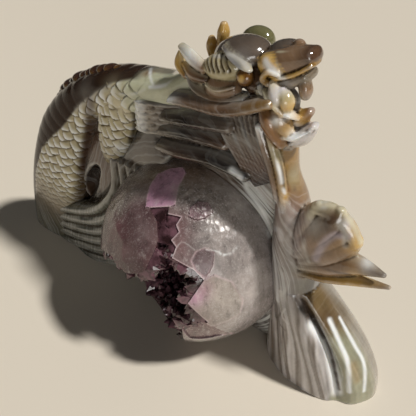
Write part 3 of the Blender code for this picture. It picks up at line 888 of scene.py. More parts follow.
def makeHaunch():
    t = tube(haunch)
    run = t["run"][:, None] * np.ones(haunch["sides"])
    width = t["rows"][:, 3, None] * t["c"][None, :]
    front = soften(0.0, 0.3, -t["s"])[None, :]
    share = run / run.max()
    # the path runs downwards here, so rows count back up it
    rowCount = (run.max() - run + haunch["skew"] * width) / haunch["row"]
    height, groove = leafScales(rowCount, width / haunch["leafWidth"] + 0.2)
    fade = soften(0.08, 0.22, share) * (1 - soften(0.86, 0.98, share))
    rightEdge = soften(0.55, 0.85, t["c"] * np.sign(t["tangents"][0, 2]))
    scaled = front * fade * (1 - 0.7 * rightEdge)
    points = t["points"] + t["normals"] * (haunch["relief"] * height * scaled)[..., None]
    obj = tubeObject("haunch", points)
    flat = points.reshape(-1, 3)
    lift = 0.5 + 0.5 * height
    # each scale darker low down as painted shade, white at its free edge as a painted highlight, and ochre
    # lower down, partly painted shade
    colours = stone["cream"] * (0.58 + 0.5 * lift).reshape(-1, 1)
    shade(colours, "white", soften(0.76, 0.98, lift) * scaled * 0.8)
    shade(colours, "ochre", soften(0.72, 0.1, lift) * scaled * 0.75, 0.75)
    shade(colours, "greyBrown", soften(0.45, 0.95, share) * 0.5)
    back = 1 - front * np.ones_like(share)
    shade(colours, "brown", back * 0.8, 0.7)
    paint(flat, colours, haunch["spots"], haunch["veins"])
    # the grooves between the scales darken in the material as painted shade
    writeAgate(obj.data, colours, (groove * scaled).ravel(), 0.0)
    settle(obj, bandedAgate)


# The crest of overlapping fins along the outer edge of the arch

crest = {
    "from": 0.06,
    "to": 0.66,
    "spacing": 4.0,
    "length": 3.0,
    "height": 1.2,
    "thickness": 3.0,
    "sink": 0.9,
    "lean": 30.0,
    "sizes": (0.85, 1.15),
    "sizeSeed": 3,
    "voxel": 0.4,
}


def makeCrest():
    # a line of points with a size each, then a tree that stands a leaning oval on the line at even steps
    t = tube(body)
    count = len(t["run"])
    picks = [k for k in range(count) if crest["from"] <= k / count <= crest["to"]]
    edge = t["centres"] + np.cross(t["tangents"], (0, 1, 0)) * (t["rows"][:, 3, None] - crest["sink"])
    mesh = bpy.data.meshes.new("crestLine")
    mesh.from_pydata([tuple(edge[k]) for k in picks], [(i, i + 1) for i in range(len(picks) - 1)], [])
    climb = np.array([k / count for k in picks])
    size = 0.7 + 0.9 * soften(0.36, 0.5, climb) * (1 - soften(0.6, 0.7, climb))
    writeShare(mesh, "size", size, most=None)
    obj = newObject("crestFins", mesh)

    n = PieceTree("crest fins along a line", bandedAgate, {
        "Spacing": crest["spacing"], "Length": crest["length"], "Height": crest["height"],
        "Thickness": crest["thickness"], "Lean": math.radians(crest["lean"])})
    curve = n.add("GeometryNodeMeshToCurve", {"Mesh": n.given["Geometry"]})
    line = n.add("GeometryNodeResampleCurve", {"Curve": curve.outputs["Curve"],
                                               "Length": n.given["Spacing"]}, mode="LENGTH")
    ball = n.add("GeometryNodeMeshUVSphere", {"Segments": 16, "Rings": 10, "Radius": 1.0})
    sizes = n.add("ShaderNodeCombineXYZ", {"X": n.given["Height"], "Y": n.given["Thickness"],
                                           "Z": n.given["Length"]})
    lean = n.add("ShaderNodeCombineXYZ", {"Y": n.given["Lean"]})
    fin = n.add("GeometryNodeTransform", {"Geometry": ball.outputs["Mesh"], "Scale": sizes.outputs[0],
                                          "Rotation": lean.outputs[0]})
    tangent = n.add("GeometryNodeInputTangent")
    align = n.add("FunctionNodeAlignEulerToVector", {"Vector": tangent.outputs[0]}, axis="Z",
                  pivot_axis="Y")
    own = n.add("GeometryNodeInputNamedAttribute", {"Name": "size"}, data_type="FLOAT")
    smallest, largest = crest["sizes"]
    wobble = n.add("FunctionNodeRandomValue", {2: smallest, 3: largest, "Seed": crest["sizeSeed"]},
                   data_type="FLOAT")
    fins = n.add("GeometryNodeInstanceOnPoints", {
        "Points": line.outputs["Curve"], "Instance": fin.outputs["Geometry"], "Rotation": align.outputs[0],
        "Scale": n.times(own.outputs[0], wobble.outputs[1])})
    n.grow(obj, fins.outputs[0])
    fuse(obj, crest["voxel"])
    smoothen(obj, 2)
    points = readPoints(obj.data)
    depth = hollows(obj.data, 6)
    colours = np.tile(stone["spine"], (len(points), 1))
    # ridges of the fins lighter ochre as a painted highlight; the hollows between the fins darken in the
    # material as painted shade
    shade(colours, "ochre", soften(0.02, 0.14, -depth) * 0.5, 0.8)
    shade(colours, "greyBrown", soften(70, 40, points[:, 2]) * 0.35)
    writeAgate(obj.data, colours, soften(0.0, 0.15, depth) * 0.7, 0.0)
    settle(obj, bandedAgate)


makeBody()
makeHaunch()
makeCrest()
print("arch done")


# The geode's hollow and its broken mouth, which cut the slab as well as the dome. The corners of the
# mouth and of the plates lie on the dome. A step is a plate's number, its lift, colour and strength, and
# a facet is a place and the half width of a flat broken there

geode = {
    "cavityCentre": (13, -6, 38),
    "cavityRadii": (29, 24, 30),
    "mouth": [
        (12.4, -18.4, 74.5), (19.1, -15.4, 76.4), (20.3, -17.4, 75), (25.1, -15.9, 75.1),
        (25, -18.7, 73.2), (27.1, -19.7, 71.7), (25.9, -22.8, 69.4), (28.5, -23.3, 67.9),
        (28.7, -26, 64.7), (36.8, -23.7, 61.7), (40.6, -22.9, 58.3), (37.7, -28.8, 49.3),
        (43.9, -24.9, 39.3), (35.7, -30.4, 35), (27.5, -16.8, 8.2), (18.9, -15.3, 5.5), (5, -9.5, 4.3),
        (-3.7, -7, 7.1), (-11.5, -4.2, 12), (-18, -8, 25), (-17, -17, 38), (-9, -27, 48),
        (1.3, -31.1, 53.8), (12, -34, 53), (18, -33.5, 56), (20.6, -32, 58), (21.8, -27.8, 65),
        (21.5, -24.9, 68.5), (18, -21.1, 72.6),
    ],
    "plates": [
        [(10.8, -18.8, 74), (8.6, -15.7, 75.6), (6.3, -11.2, 77.4), (5.4, -5.4, 79.2), (8.4, -1.8, 80.7),
         (12.8, 0.7, 81.6), (15.6, -1, 81.6), (17.5, -8.1, 79.8), (20.9, -14.2, 76.9), (16, -16.8, 75.7)],
        [(34.9, -22.9, 64.4), (35.1, -20.3, 67), (37.1, -17.6, 68), (40, -16.2, 66.6), (41.5, -18.8, 62.6),
         (40.9, -22.2, 58.9), (37.5, -23.4, 61.4)],
        [(37.7, -28.8, 49.3), (40.6, -22.9, 58.3), (42.8, -19.8, 59.7), (48, -15.9, 56), (51.9, -13.9, 47),
         (51.7, -15.2, 40.7), (48.3, -20.1, 37.6), (44.4, -24.3, 36.5)],
        [(35.7, -30.4, 35), (38, -29.3, 45.5), (41.7, -26.9, 40.8), (45.4, -23.1, 35.5), (48.4, -15, 25.7),
         (45.1, -19.9, 26.4), (39.6, -24.4, 24.8), (36.7, -27, 25.9)],
        [(27.5, -14.4, 75.3), (26, -11.9, 77), (27, -8.5, 78.1), (30, -6.5, 77.8), (33.2, -7.7, 76),
         (32.4, -11.4, 74.8), (29.8, -13.9, 74.7)],
    ],
    # the light patches up the right-hand side and over the top are painted light where the dome lies in the
    # shade of the pillar and the mane
    "patches": [
        ((2, -27, 61), 15, "garnet", 0.95), ((-8, -21, 59), 12, "garnet", 0.85),
        ((8, -32, 55), 6, "rose", 0.3), ((14, -28, 62), 7, "wine", 0.6), ((6, -22, 70), 6, "wine", 0.5),
        ((-9, -26, 51), 5, "lilac", 0.4), ((-14, -18, 53), 9, "wine", 0.7),
        ((-4, -18, 68), 4.5, "ashGrey", 0.8), ((0, -15.5, 72), 4, "ashGrey", 0.5), ((5, -5, 78), 8, "tan", 0.6),
        ((16, 2, 82), 9, "tan", 0.6), ((26, 3, 81), 9, "tan", 0.45), ((37, 3, 76), 9, "pale", 0.8),
        ((45, 3, 69), 9, "pale", 0.8), ((30, -3, 79), 8, "ashGrey", 0.7), ((51, -2, 60), 12, "frost", 0.5),
        ((50, -12, 44), 10, "frost", 0.3), ((34, -22, 66), 3.4, "wine", 0.6),
        ((29, -12, 76.5), 3.5, "rose", 0.6), ((28, -18, 72.5), 4.5, "rose", 0.7),
        ((30, -21.5, 68.5), 4, "rose", 0.7), ((34, -22, 65.5), 4, "rose", 0.6),
        ((50, -12, 52), 12, "ashGrey", 0.5), ((47, -8, 66), 10, "ashGrey", 0.6), ((40, -9, 71), 7, "ashGrey", 0.4),
        ((41, -27, 38), 6, "wine", 0.5), ((46, -18, 40), 8, "ashGrey", 0.4),
    ],
    "steps": [
        (0, 0.5, "pink", 0.85), (1, -0.5, "wine", 0.75), (2, 0.4, "ashGrey", 0.5), (3, -0.5, "rose", 0.7),
        (4, 0.9, "lilac", 0.5),
    ],
    "overSteps": [
        ((19, -9, 79.4), 3.5, "ashGrey", 0.6), ((12.4, -14, 77), 3, "lilac", 0.4),
        ((38.6, -26.4, 52), 4, "pink", 0.85), ((41, -24.6, 55), 3.5, "lilac", 0.6),
        ((36.8, -29, 42), 3, "wine", 0.7),
    ],
    "veins": [
        ([(28.7, -26, 64.7), (29.5, -21.5, 69.5), (34.6, -20.2, 67.5)], 0.25, "frost", 0.5),
        # the thin white line from the second flake out to the right is a painted reflection
        ([(37.6, -17.4, 67.4), (40.4, -15.4, 66.6), (43, -14, 65.2), (44.6, -12, 65.4), (45, -9.2, 66.6)],
         0.3, "white", 0.9),
        ([(-12.3, -19.6, 57.5), (-10.4, -22.4, 56), (-8.8, -24.6, 54.6)], 0.9, "ashGrey", 0.7),
        ([(-1, -25, 65), (2, -27, 61), (0, -29.6, 57)], 0.3, "ashGrey", 0.6),
    ],
    # frost places: where the grain is frosted, and where the material paints glints
    "frost": [((31, -7, 77), 7), ((36, -7, 74.5), 6), ((-4, -18, 68), 6), ((24, -9, 78.6), 5)],
    "facets": [
        ((2, -30, 58), 7), ((-6, -25, 57), 6), ((6, -25, 66), 6), ((11, -30, 61), 5), ((-1, -21, 68), 5),
        ((-9, -18, 62), 5), ((9, -33, 52), 5), ((-3, -30, 49), 6),
    ],
    "wedgeInner": 0.05,
    "wedgeOuter": 2.2,
    "wallDensity": 0.3,
    "wallRadius": (0.8, 2.2),
    "wallSink": 0.6,
    "wallStart": 2.5,
    "wallSeed": 11,
}


def geodeCutters(inner):
    # what the hollow and its mouth take away: a ball, and a wedge out through the outline drawn on the dome
    ball = Soup()
    ball.lump(geode["cavityCentre"], geode["cavityRadii"], "deep", rows=48, columns=72)
    c, outline = carving["domeCentre"], geode["mouth"]
    points = [c + (Vector(p) - c) * share for share in (inner, geode["wedgeOuter"]) for p in outline]
    count = len(outline)
    faces = [(k, (k + 1) % count, count + (k + 1) % count, count + k) for k in range(count)]
    faces += [tuple(reversed(range(count))), tuple(range(count, 2 * count))]
    wedge = meshFrom("mouth", points, faces)
    bm = openMesh(wedge.data)
    bmesh.ops.triangulate(bm, faces=bm.faces)
    bmesh.ops.recalc_face_normals(bm, faces=bm.faces)
    closeMesh(bm, wedge.data)
    return meshFrom("hollow", ball.points, ball.faces), wedge


# The slab behind the dome, with belly, hair, waves and the pocket in the arch

slab = {
    "layers": [
        [(-76, 13, 8, 12, 9), (-30, 13, 18, 20, 9), (20, 13, 24, 25, 9), (60, 13, 20, 21, 9)],
        [(-34, 14, 50, 10, 8), (-10, 14, 62, 22, 8), (20, 14, 80, 26, 8), (48, 13, 84, 22, 8)],
        [(-20, 13, 92, 8, 7), (10, 13, 98, 13, 8), (42, 12, 102, 14, 8)],
        [(-68, 15, 26, 14, 6), (-54, 15, 56, 14, 6), (-34, 14, 82, 13, 6), (-8, 13, 96, 8, 6)],
    ],
    "floor": ((-42, 12, 50), (22, 8.5, 27), -22),
    "pocket": ((-48, 3, 44), (4.2, 9, 16), -29),
    "collarRadius": 43,
    "collarSpan": (-40, 205),
    "backWaves": 5,
    "backWaveGap": 15,
    "backFill": [((-46, 17, 40), (20, 5, 24)), ((-68, 14, 24), (12, 7, 14))],
    "bellyPlates": 6,
    "bellyTop": (-7, 2.6, 104),
    "bellyPitch": 2.4,
    "hairLocks": 13,
    "waves": 6,
    "waveGap": 6.6,
    "waveWidth": 2.9,
    "wedgeInner": 0.1,
    "pocketShade": (7, 20, 17),
    "underArch": ((-22, 5, 76), (9, 12, 9)),
    "voxel": 0.72,
    # the white and pale spots beside the vein are a painted highlight, and the deep spot under the arch is
    # painted shade
    "spots": [
        ((44, 5, 83), 4, "white", 0.7), ((48, 5, 81), 4, "pale", 0.6), ((46, 5, 86), 4, "brown", 0.4),
        ((-26, 6, 74), 8, "deep", 0.6),
    ],
}

# white veins round the right-hand side of the dome, on whatever piece they cross; their bright white is
# partly a painted reflection
sharedVeinsAndSheen = [
    ([(36.6, -1.5, 92.4), (39.8, -1, 90.3), (38.3, 5.5, 82), (42, 5.4, 78.2), (45.6, 5.5, 74.3),
      (48.3, 5.3, 70.1), (50.6, 5.3, 64.6)], 1.25, "white", 1.0),
    ([(52, 2, 68), (55.3, -1, 64.7), (57.3, -2, 59.1), (59.3, -2.5, 50.1), (60, -2.3, 41.6)], 0.9, "white",
     1.0),
    ([(39.9, 5.4, 84.6), (45.2, 5.2, 83), (49, 5.4, 79.4), (52, 4, 75)], 1.6, "frost", 0.9),
    ([(54.6, -0.7, 74.8), (57.4, -1.8, 76), (58.4, -2.2, 73)], 1.3, "frost", 0.9),
    ([(40.8, 5.3, 84.2), (45.4, 5.2, 80.4), (48.8, 5, 75.8), (52, 4, 70), (54, 2, 64), (57.5, 0, 54),
      (58.6, -1, 44)], 0.55, "white", 0.8),
    ([(42.5, 5.2, 86), (47.4, 5.2, 81.5), (51, 5, 76.5), (54, 3, 71), (56.5, 0, 64), (59, -2, 55)], 0.5,
     "pale", 0.8),
]


def makeSlab():
    s = Soup()
    for layer in slab["layers"]:
        s.limb(layer, ["brown", "deep"], sides=28, step=1.5)
    centre, radii, pitch = slab["floor"]
    s.lump(centre, radii, "brown", pitch)
    # a collar round the dome
    start, end = slab["collarSpan"]
    middle = carving["domeCentre"]
    ring = []
    for k in range(13):
        a = math.radians(start + (end - start) * k / 12)
        ring.append((middle.x + slab["collarRadius"] * math.cos(a), 11,
                     middle.z + slab["collarRadius"] * math.sin(a), 4, 6))
    s.limb(ring, ["grey", "grey", "brown", "deep", "brown", "moss"], sides=20)
    for centre, radii in slab["backFill"]:
        s.lump(centre, radii, "smoke")
    for k in range(slab["backWaves"]):
        drop = slab["backWaveGap"] * k
        path = [(-62 + 0.2 * drop, 17, 62 - 0.9 * drop), (-30 + 0.3 * drop, 20, 74 - drop),
                (8 + 0.2 * drop, 21, 90 - 1.05 * drop), (44 + 0.15 * drop, 17, 106 - 1.05 * drop)]
        s.limb([(*p, 7.5, 4) for p in path], ["smoke", "greyBrown", "smoke"], sides=20, step=1.5)
    x, y, z = slab["bellyTop"]
    for k in range(slab["bellyPlates"]):
        low = z - slab["bellyPitch"] * k
        s.limb([(x - 2, y + 2, low - 1, 1.1, 4.5), (x + 2, y, low, 1.2, 4.5),
                (x + 8, y + 1, low + 1, 1.2, 4.5), (x + 18, y + 3, low + 2.5, 1.2, 4.5)],
               ["white", "white", "greyBrown", "smoke", "brown"], square=1.15)
    for k in range(slab["hairLocks"]):
        f = k / (slab["hairLocks"] - 1)
        top = (-14 + 20 * f, 9 - 2 * f, 85 + 5 * math.sin(math.pi * f))
        low = (-25 + 25 * f, 7 - 3 * f, 63 + 12 * f)
        x, y, z = [(a + b) / 2 for a, b in zip(top, low)]
        s.limb([(*top, 1.1, 4), (x, y - 1.5, z, 1.35, 4), (*low, 1.1, 4)],
               ["deep", "smoke", "greyBrown"], sides=14)
    for k in range(slab["waves"]):
        out = slab["waveGap"] * k
        width = slab["waveWidth"] + 0.22 * k
        path = [(-27 + 0.75 * out, 6, 68 + 0.1 * out), (-28 + 0.85 * out, 4.5, 52 - 0.3 * out),
                (-41 + 0.45 * out, 3, 35 - 0.75 * out), (-62 + 0.1 * out, 3.5, 24 - 0.8 * out),
                (-88 + 0.2 * out, 6, 14 - 0.6 * out)]
        light = 1.0 - 0.1 * k
        tones = [stone["greyBrown"] * light, stone["wave"] * light, stone["wave"] * light, stone["moss"]]
        s.limb([(*p, width, width + 3) for p in path], tones, sides=30, ribs=14, ribDepth=0.035)
    obj = meshFrom("slabAndWaves", s.points, s.faces)
    fuse(obj, slab["voxel"])
    centre, radii, pitch = slab["pocket"]
    p = Soup()
    p.lump(centre, radii, "deep", pitch)
    cut(obj, meshFrom("pocket", p.points, p.faces), *geodeCutters(slab["wedgeInner"]))
    fuse(obj, slab["voxel"])
    smoothen(obj)
    dropBelow(obj)
    points = readPoints(obj.data)
    colours = nearestTones(s, points)
    depth = hollows(obj.data)
    # the pocket painted dark: painted shade in the recess
    inPocket = np.exp(-away(points, centre, slab["pocketShade"]) ** 2) * soften(-1, 3, points[:, 1])
    shade(colours, "deep", inPocket * 0.8, 0.35)
    # ridges painted pale as a painted highlight; the grooves darken in the material as painted shade
    shade(colours, "pale", soften(0.05, 0.3, -depth) * 0.45)
    # darker under the arch: painted shade
    underArch = np.exp(-away(points, *slab["underArch"])) * soften(12, 2, points[:, 1])
    shade(colours, "deep", underArch * 0.7)
    reach = domeReach(points)
    line = whiteSide(points) * np.clip((16 - points[:, 1]) / 3, 0, 1) * np.clip((reach - 40.5) / 0.5, 0, 1)
    line *= soften(58, 50, reach)
    shade(colours, "grey", line * 0.5)
    paint(points, colours, slab["spots"], sharedVeinsAndSheen)
    # dark plum where the slab lies inside the geode: partly the lining's own colour, partly painted shade
    # in the hollow
    inGeode = soften(40.4, 39.4, reach) * soften(16, 12, points[:, 1])
    shade(colours, "plum", inGeode)
    writeAgate(obj.data, colours, soften(0.03, 0.35, depth) * 0.85, 0.2 * (1 - inGeode), line)
    settle(obj, bandedAgate)


makeSlab()
print("slab done")


# The mane: blades one above the other over the dome, and a fan of locks beside them

mane = {
    "blades": [
        ([(12, 1, 112, 2.2, 6), (22, 0, 114, 2.6, 6), (36, -1, 116.5, 2.6, 6), (50, 0, 123, 2.2, 5)],
         ["pale", "brown", "brown", "ochre"]),
        ([(6, 3, 102, 2.6, 6), (18, 2, 105, 3.2, 6), (34, 3, 108, 3, 6)], ["greyBrown", "deep", "smoke"]),
        ([(4, 4, 95, 3, 6), (16, 3, 98.5, 3.6, 6), (32, 4, 100, 3, 6)], ["greyBrown", "deep", "brown"]),
        ([(2, 5, 87, 2.6, 6), (14, 1, 91, 3, 6), (28, 2, 93, 3, 6), (40, 5, 90, 3, 6)],
         ["smoke", "brown", "deep", "deep"]),
    ],
    "fanLocks": 11,
    "voxel": 0.42,
    "spots": [
        ((30, -4, 119), 5, "tan", 0.6), ((20, -5, 115), 5, "tan", 0.5), ((12, -4, 112), 2.5, "white", 0.4),
    ],
    "veins": [
        ([(12, -4, 110.5), (24, -5.5, 112.5), (38, -6, 116)], 0.7, "pale", 0.7),
        ([(14, -5, 114.5), (26, -6, 116.5), (40, -6, 120)], 0.6, "white", 0.45),
    ],
}


def makeMane():
    s = Soup()
    for blade, names in mane["blades"]:
        s.limb(blade, names, sides=36, square=1.08, edge="pale", edgeShare=0.45, ribs=16, ribDepth=0.05)
    for k in range(mane["fanLocks"]):
        f = k / (mane["fanLocks"] - 1)
        s.limb([(25 + 20 * f, 6, 111 + 2 * f, 1.4, 5), (32 + 16 * f, 4, 104 + 3 * f, 1.7, 5),
                (38 + 13 * f, 5, 95 + 5 * f, 1.5, 5), (43 + 9 * f, 7, 86 + 7 * f, 1.2, 4)],
               ["smoke", "smoke" if k % 3 else "grey", "brown", "deep"], sides=20)
    obj, points, colours = fusedPiece("mane", s, mane["voxel"])
    depth = hollows(obj.data)
    # ridges painted pale as a painted highlight; the grooves darken in the material as painted shade
    shade(colours, "pale", soften(0.06, 0.32, -depth) * 0.5)
    paint(points, colours, mane["spots"], sharedVeinsAndSheen + mane["veins"])
    writeAgate(obj.data, colours, soften(0.02, 0.25, depth) * 0.9, 0.15)
    settle(obj, bandedAgate)


# The head. Its own places are millimetres along it, to its left side and up

head = {
    "place": Vector((33, 8, 130)),
    "pitch": 15,
    "skull": [
        ((0, 0, 0.5), (9.8, 8, 5.6), 15, "smoke"), ((-4, 0, -5), (9, 7.5, 6), 15, "brown"),
        ((7, 0, -7), (9, 6.5, 6), 15, "brown"), ((6.4, -4.6, -8.4), (3.6, 2.4, 2.6), 15, "brown"),
        ((-3, 13, 0.2), (6.3, 4.6, 4.9), 15, "olive"), ((19.7, 1.5, 2.7), (1.9, 1.6, 1.5), 0, "tan"),
        ((15, 2, 0.9), (5.8, 5, 3), 11, "smoke"),
    ],
    "face": [
        ((-3.2, 6.8, -1.8), (7.4, 3.9, 4.6), 12, "cream"), ((-4.5, 7.4, -8.4), (6.8, 4, 4.6), 15, "tan"),
        ((13.5, 4.6, -2), (5.2, 3.2, 3.6), -5, "honey"),
    ],
    "eye": ((5.4, 8.0, -4.2), 3.0),
    "curls": [
        ([(16.5, 6.8, -3.6, 0.8, 1), (13.6, 7.8, -2.6, 0.9, 1.2), (11.4, 7.8, -4.6, 1, 1.2),
          (13, 7.6, -6.4, 0.9, 1.1)], ["honey", "ochre"]),
        ([(9.6, 7.4, -7, 0.8, 1), (10.6, 8, -9, 0.9, 1.1), (13.6, 7.6, -8.4, 0.8, 1)], ["pale", "ivory"]),
        ([(-9.5, 9.4, -6.5, 0.5, 0.8), (-4, 11, -7.6, 0.6, 0.9), (2.4, 10.4, -6.6, 0.5, 0.8)],
         ["ivory", "tan"]),
    ],
    "muzzle": [
        ([(11, -1, -2.2, 4.1, 6), (19, -1, -0.9, 4.0, 5.4), (25.6, -1, 0.4, 2.5, 4.2)],
         ["greyBrown", "tan", "tan", "brown"]),
        ([(14, -2, -5.4, 1, 5), (21, -2, -3.9, 0.9, 4.8), (26.4, -2, -1.6, 0.8, 3.6)],
         ["honey", "honey", "ochre"]),
        ([(8, -1, -9.6, 3.0, 6.4), (16, -1, -7.6, 2.6, 5.6), (23.6, -1, -5.2, 1.8, 4.2)],
         ["ivory", "pale", "ashGrey", "greyBrown"]),
        ([(22.6, -3, -6.4, 1.8, 2), (23, -3.5, -9.2, 2, 2.4), (22.6, -3.5, -11.2, 1.6, 1.9)],
         ["greyBrown", "tan", "ashGrey"]),
    ],
    "horns": [
        [(-19.7, 8, -4, 1.2, 1.2), (-19, 8, -1.4, 2.1, 1.9), (-18.5, 8, 1, 2.3, 2.0),
         (-18.2, 8, 3, 1.3, 1.2)],
        [(-15, 8, -1, 1.3, 1.2), (-13.6, 8, 2.2, 2.2, 1.9), (-12.5, 8, 5, 2.4, 2.1),
         (-11.8, 8, 7.4, 1.4, 1.3)],
    ],
    "tufts": [
        ([(-2.4, -3.8, 4.2, 0.8, 2.2), (2.2, -6.2, 1.6, 1.1, 3.6), (5.8, -7.8, -0.8, 1.0, 2.8),
          (8.0, -8.4, -2.2, 0.5, 1.2)], ["smoke", "grey", "grey", "cream"]),
        ([(-21, -4, 4, 1.4, 1.8), (-16, -6.6, 1.6, 2.7, 2), (-10.5, -7.4, -2, 2, 2)],
         ["ivory", "white", "tan"]),
        ([(-22.4, -2, 3, 0.9, 2), (-23.4, -4.4, -1.4, 2.1, 2.2), (-20, -5.6, -5.2, 1.6, 2.2)],
         ["cream", "honey", "ochre"]),
        ([(-20.4, -4.6, -1.6, 1.2, 1.8), (-16, -7.2, -4.2, 2.2, 2), (-10, -7.6, -5.4, 1.6, 2)],
         ["honey", "tan", "brown"]),
        ([(-19, -5, -5.4, 1.2, 2.4), (-15, -7.4, -9, 2.1, 2.6), (-6, -8.6, -11.4, 1.8, 2.8),
          (4, -8, -10.8, 1.3, 2.4)], ["pale", "greyBrown", "tan", "pale"]),
        ([(-15, -6, -12, 1, 2.6), (-6, -8, -14.2, 1.5, 2.8), (6, -8.6, -13.6, 1.2, 2.6),
          (14, -7, -11.6, 0.9, 2)], ["white", "pale", "greyBrown", "ivory"]),
    ],
    "petalSquare": 1.2,
    "browCuts": 6,
    "browCutFrom": -5.2,
    "browCutTo": 4.4,
    "browCutSlant": -1.8,
    "browCutDepth": 0.7,
    "browCutWidth": 0.6,
    "spots": [
        ((37, 1, 133), 3, "grey", 0.4), ((40, -1, 127.5), 2.2, "amber", 0.5),
        ((36, 9, 137), 4, "smoke", 0.3),
    ],
    "veins": [
        ([(28, 0, 131.5), (32, -0.5, 132.4), (36.5, 0.4, 132.4), (41.5, -1, 130.4)], 1.1, "pale", 0.85),
        ([(44, 1, 136), (45.8, 0.4, 133.4), (49, 0.4, 131.6), (51.8, 1, 129.6)], 1.3, "white", 0.85),
        ([(47.5, 2, 136), (49.5, 1, 133.6), (52.4, 1, 131.4)], 0.5, "pale", 0.6),
        ([(47, 4, 136.4), (51, 4, 136.8), (54.6, 6, 138.2)], 0.5, "ivory", 0.8),
        ([(51, 0, 130.6), (55.6, 1.6, 132.4), (60, 3, 134.4)], 0.7, "honey", 0.8),
    ],
    "voxel": 0.36,
}


def onHead(along, side, up):
    pitch = math.radians(head["pitch"])
    return head["place"] + Vector((along * math.cos(pitch) - up * math.sin(pitch), side,
                                   along * math.sin(pitch) + up * math.cos(pitch)))


def headLimb(s, stations, names, side=1, **options):
    s.limb([(*onHead(a, side * b, c), across, depth) for a, b, c, across, depth in stations],
           names, **options)


def browClefts(points):
    # how deep in a cleft each point is: the clefts run up over each brow, the first lump of the face
    (a, b, c), (length, out, tall) = head["face"][0][:2]
    cuts, first, last = head["browCuts"], head["browCutFrom"], head["browCutTo"]
    cleft = np.zeros(len(points))
    for side in (-1, 1):
        for k in range(cuts):
            along = first + (last - first) * k / (cuts - 1)
            swell = math.sqrt(1 - (along / length) ** 2)
            line = []
            for lean in map(math.radians, range(80, -1, -20)):
                line.append(tuple(onHead(a + along + head["browCutSlant"] * math.sin(lean),
                                         side * (b + out * swell * math.cos(lean)),
                                         c + tall * swell * math.sin(lean))))
            cleft = np.maximum(cleft, np.exp(-(lineGap(points, line) / head["browCutWidth"]) ** 2))
    return cleft


def makeHead():
    s = Soup()
    for place, radii, pitch, name in head["skull"]:
        s.lump(onHead(*place), radii, name, pitch)
    for side in (-1, 1):
        for (along, out, up), radii, pitch, name in head["face"]:
            s.lump(onHead(along, side * out, up), radii, name, pitch)
        for stations, names in head["curls"]:
            headLimb(s, stations, names, side, sides=12, step=0.4)
    for stations, names in head["muzzle"]:
        headLimb(s, stations, names, sides=24, step=0.5, square=0.85)
    for horn in head["horns"]:
        headLimb(s, horn, ["honey", "horn", "horn"], sideAxis=(1, 0, 0), step=0.5)
    for stations, names in head["tufts"]:
        headLimb(s, stations, names, step=0.5, square=head["petalSquare"], edge="ivory", edgeShare=0.5)
    obj, points, colours = fusedPiece("head", s, head["voxel"])
    # the brow's clefts sink straight towards the line through the head
    cleft = browClefts(points)
    inward = np.array(head["place"]) - points
    inward[:, 0] = 0
    inward /= np.linalg.norm(inward, axis=1)[:, None]
    points += inward * (cleft * head["browCutDepth"])[:, None]
    obj.data.vertices.foreach_set("co", points.ravel())
    depth = hollows(obj.data)
    # brown in the clefts is painted shade, the ridges painted white as a painted highlight, and the grooves
    # darken in the material as painted shade
    shade(colours, "brown", cleft * 0.6)
    shade(colours, "white", soften(0.08, 0.32, -depth) * 0.3)
    paint(points, colours, head["spots"], head["veins"])
    writeAgate(obj.data, colours, soften(0.015, 0.2, depth) * 0.95, 0.04)
    settle(obj, bandedAgate)


def makeEye(side, name):
    # an oval ball of dark amber, honey at its front as a painted highlight, with its rim darkened as
    # painted shade
    (along, out, up), radius = head["eye"]
    e = Soup()
    e.lump(onHead(along, side * out, up), (radius, radius * 0.9, radius * 0.95), "amber")
    obj = meshFrom(name, e.points, e.faces)
    points = readPoints(obj.data)
    middle = np.array(onHead(along, side * (out + 2.6), up + 0.4))
    ring = np.linalg.norm(points - middle, axis=1)
    colours = np.tile(stone["amber"] * 0.55, (len(points), 1))
    shade(colours, "honey", 1 - soften(0.5, 1.7, ring))
    writeAgate(obj.data, colours, soften(2.4, 3.6, ring) * 0.75, 0.0)
    settle(obj, bandedAgate)


makeMane()
makeHead()
makeEye(-1, "eyeFront")
makeEye(1, "eyeBack")
print("head done")


# Under the head: a knot of petals, then the pillar, its loose strands and the claw

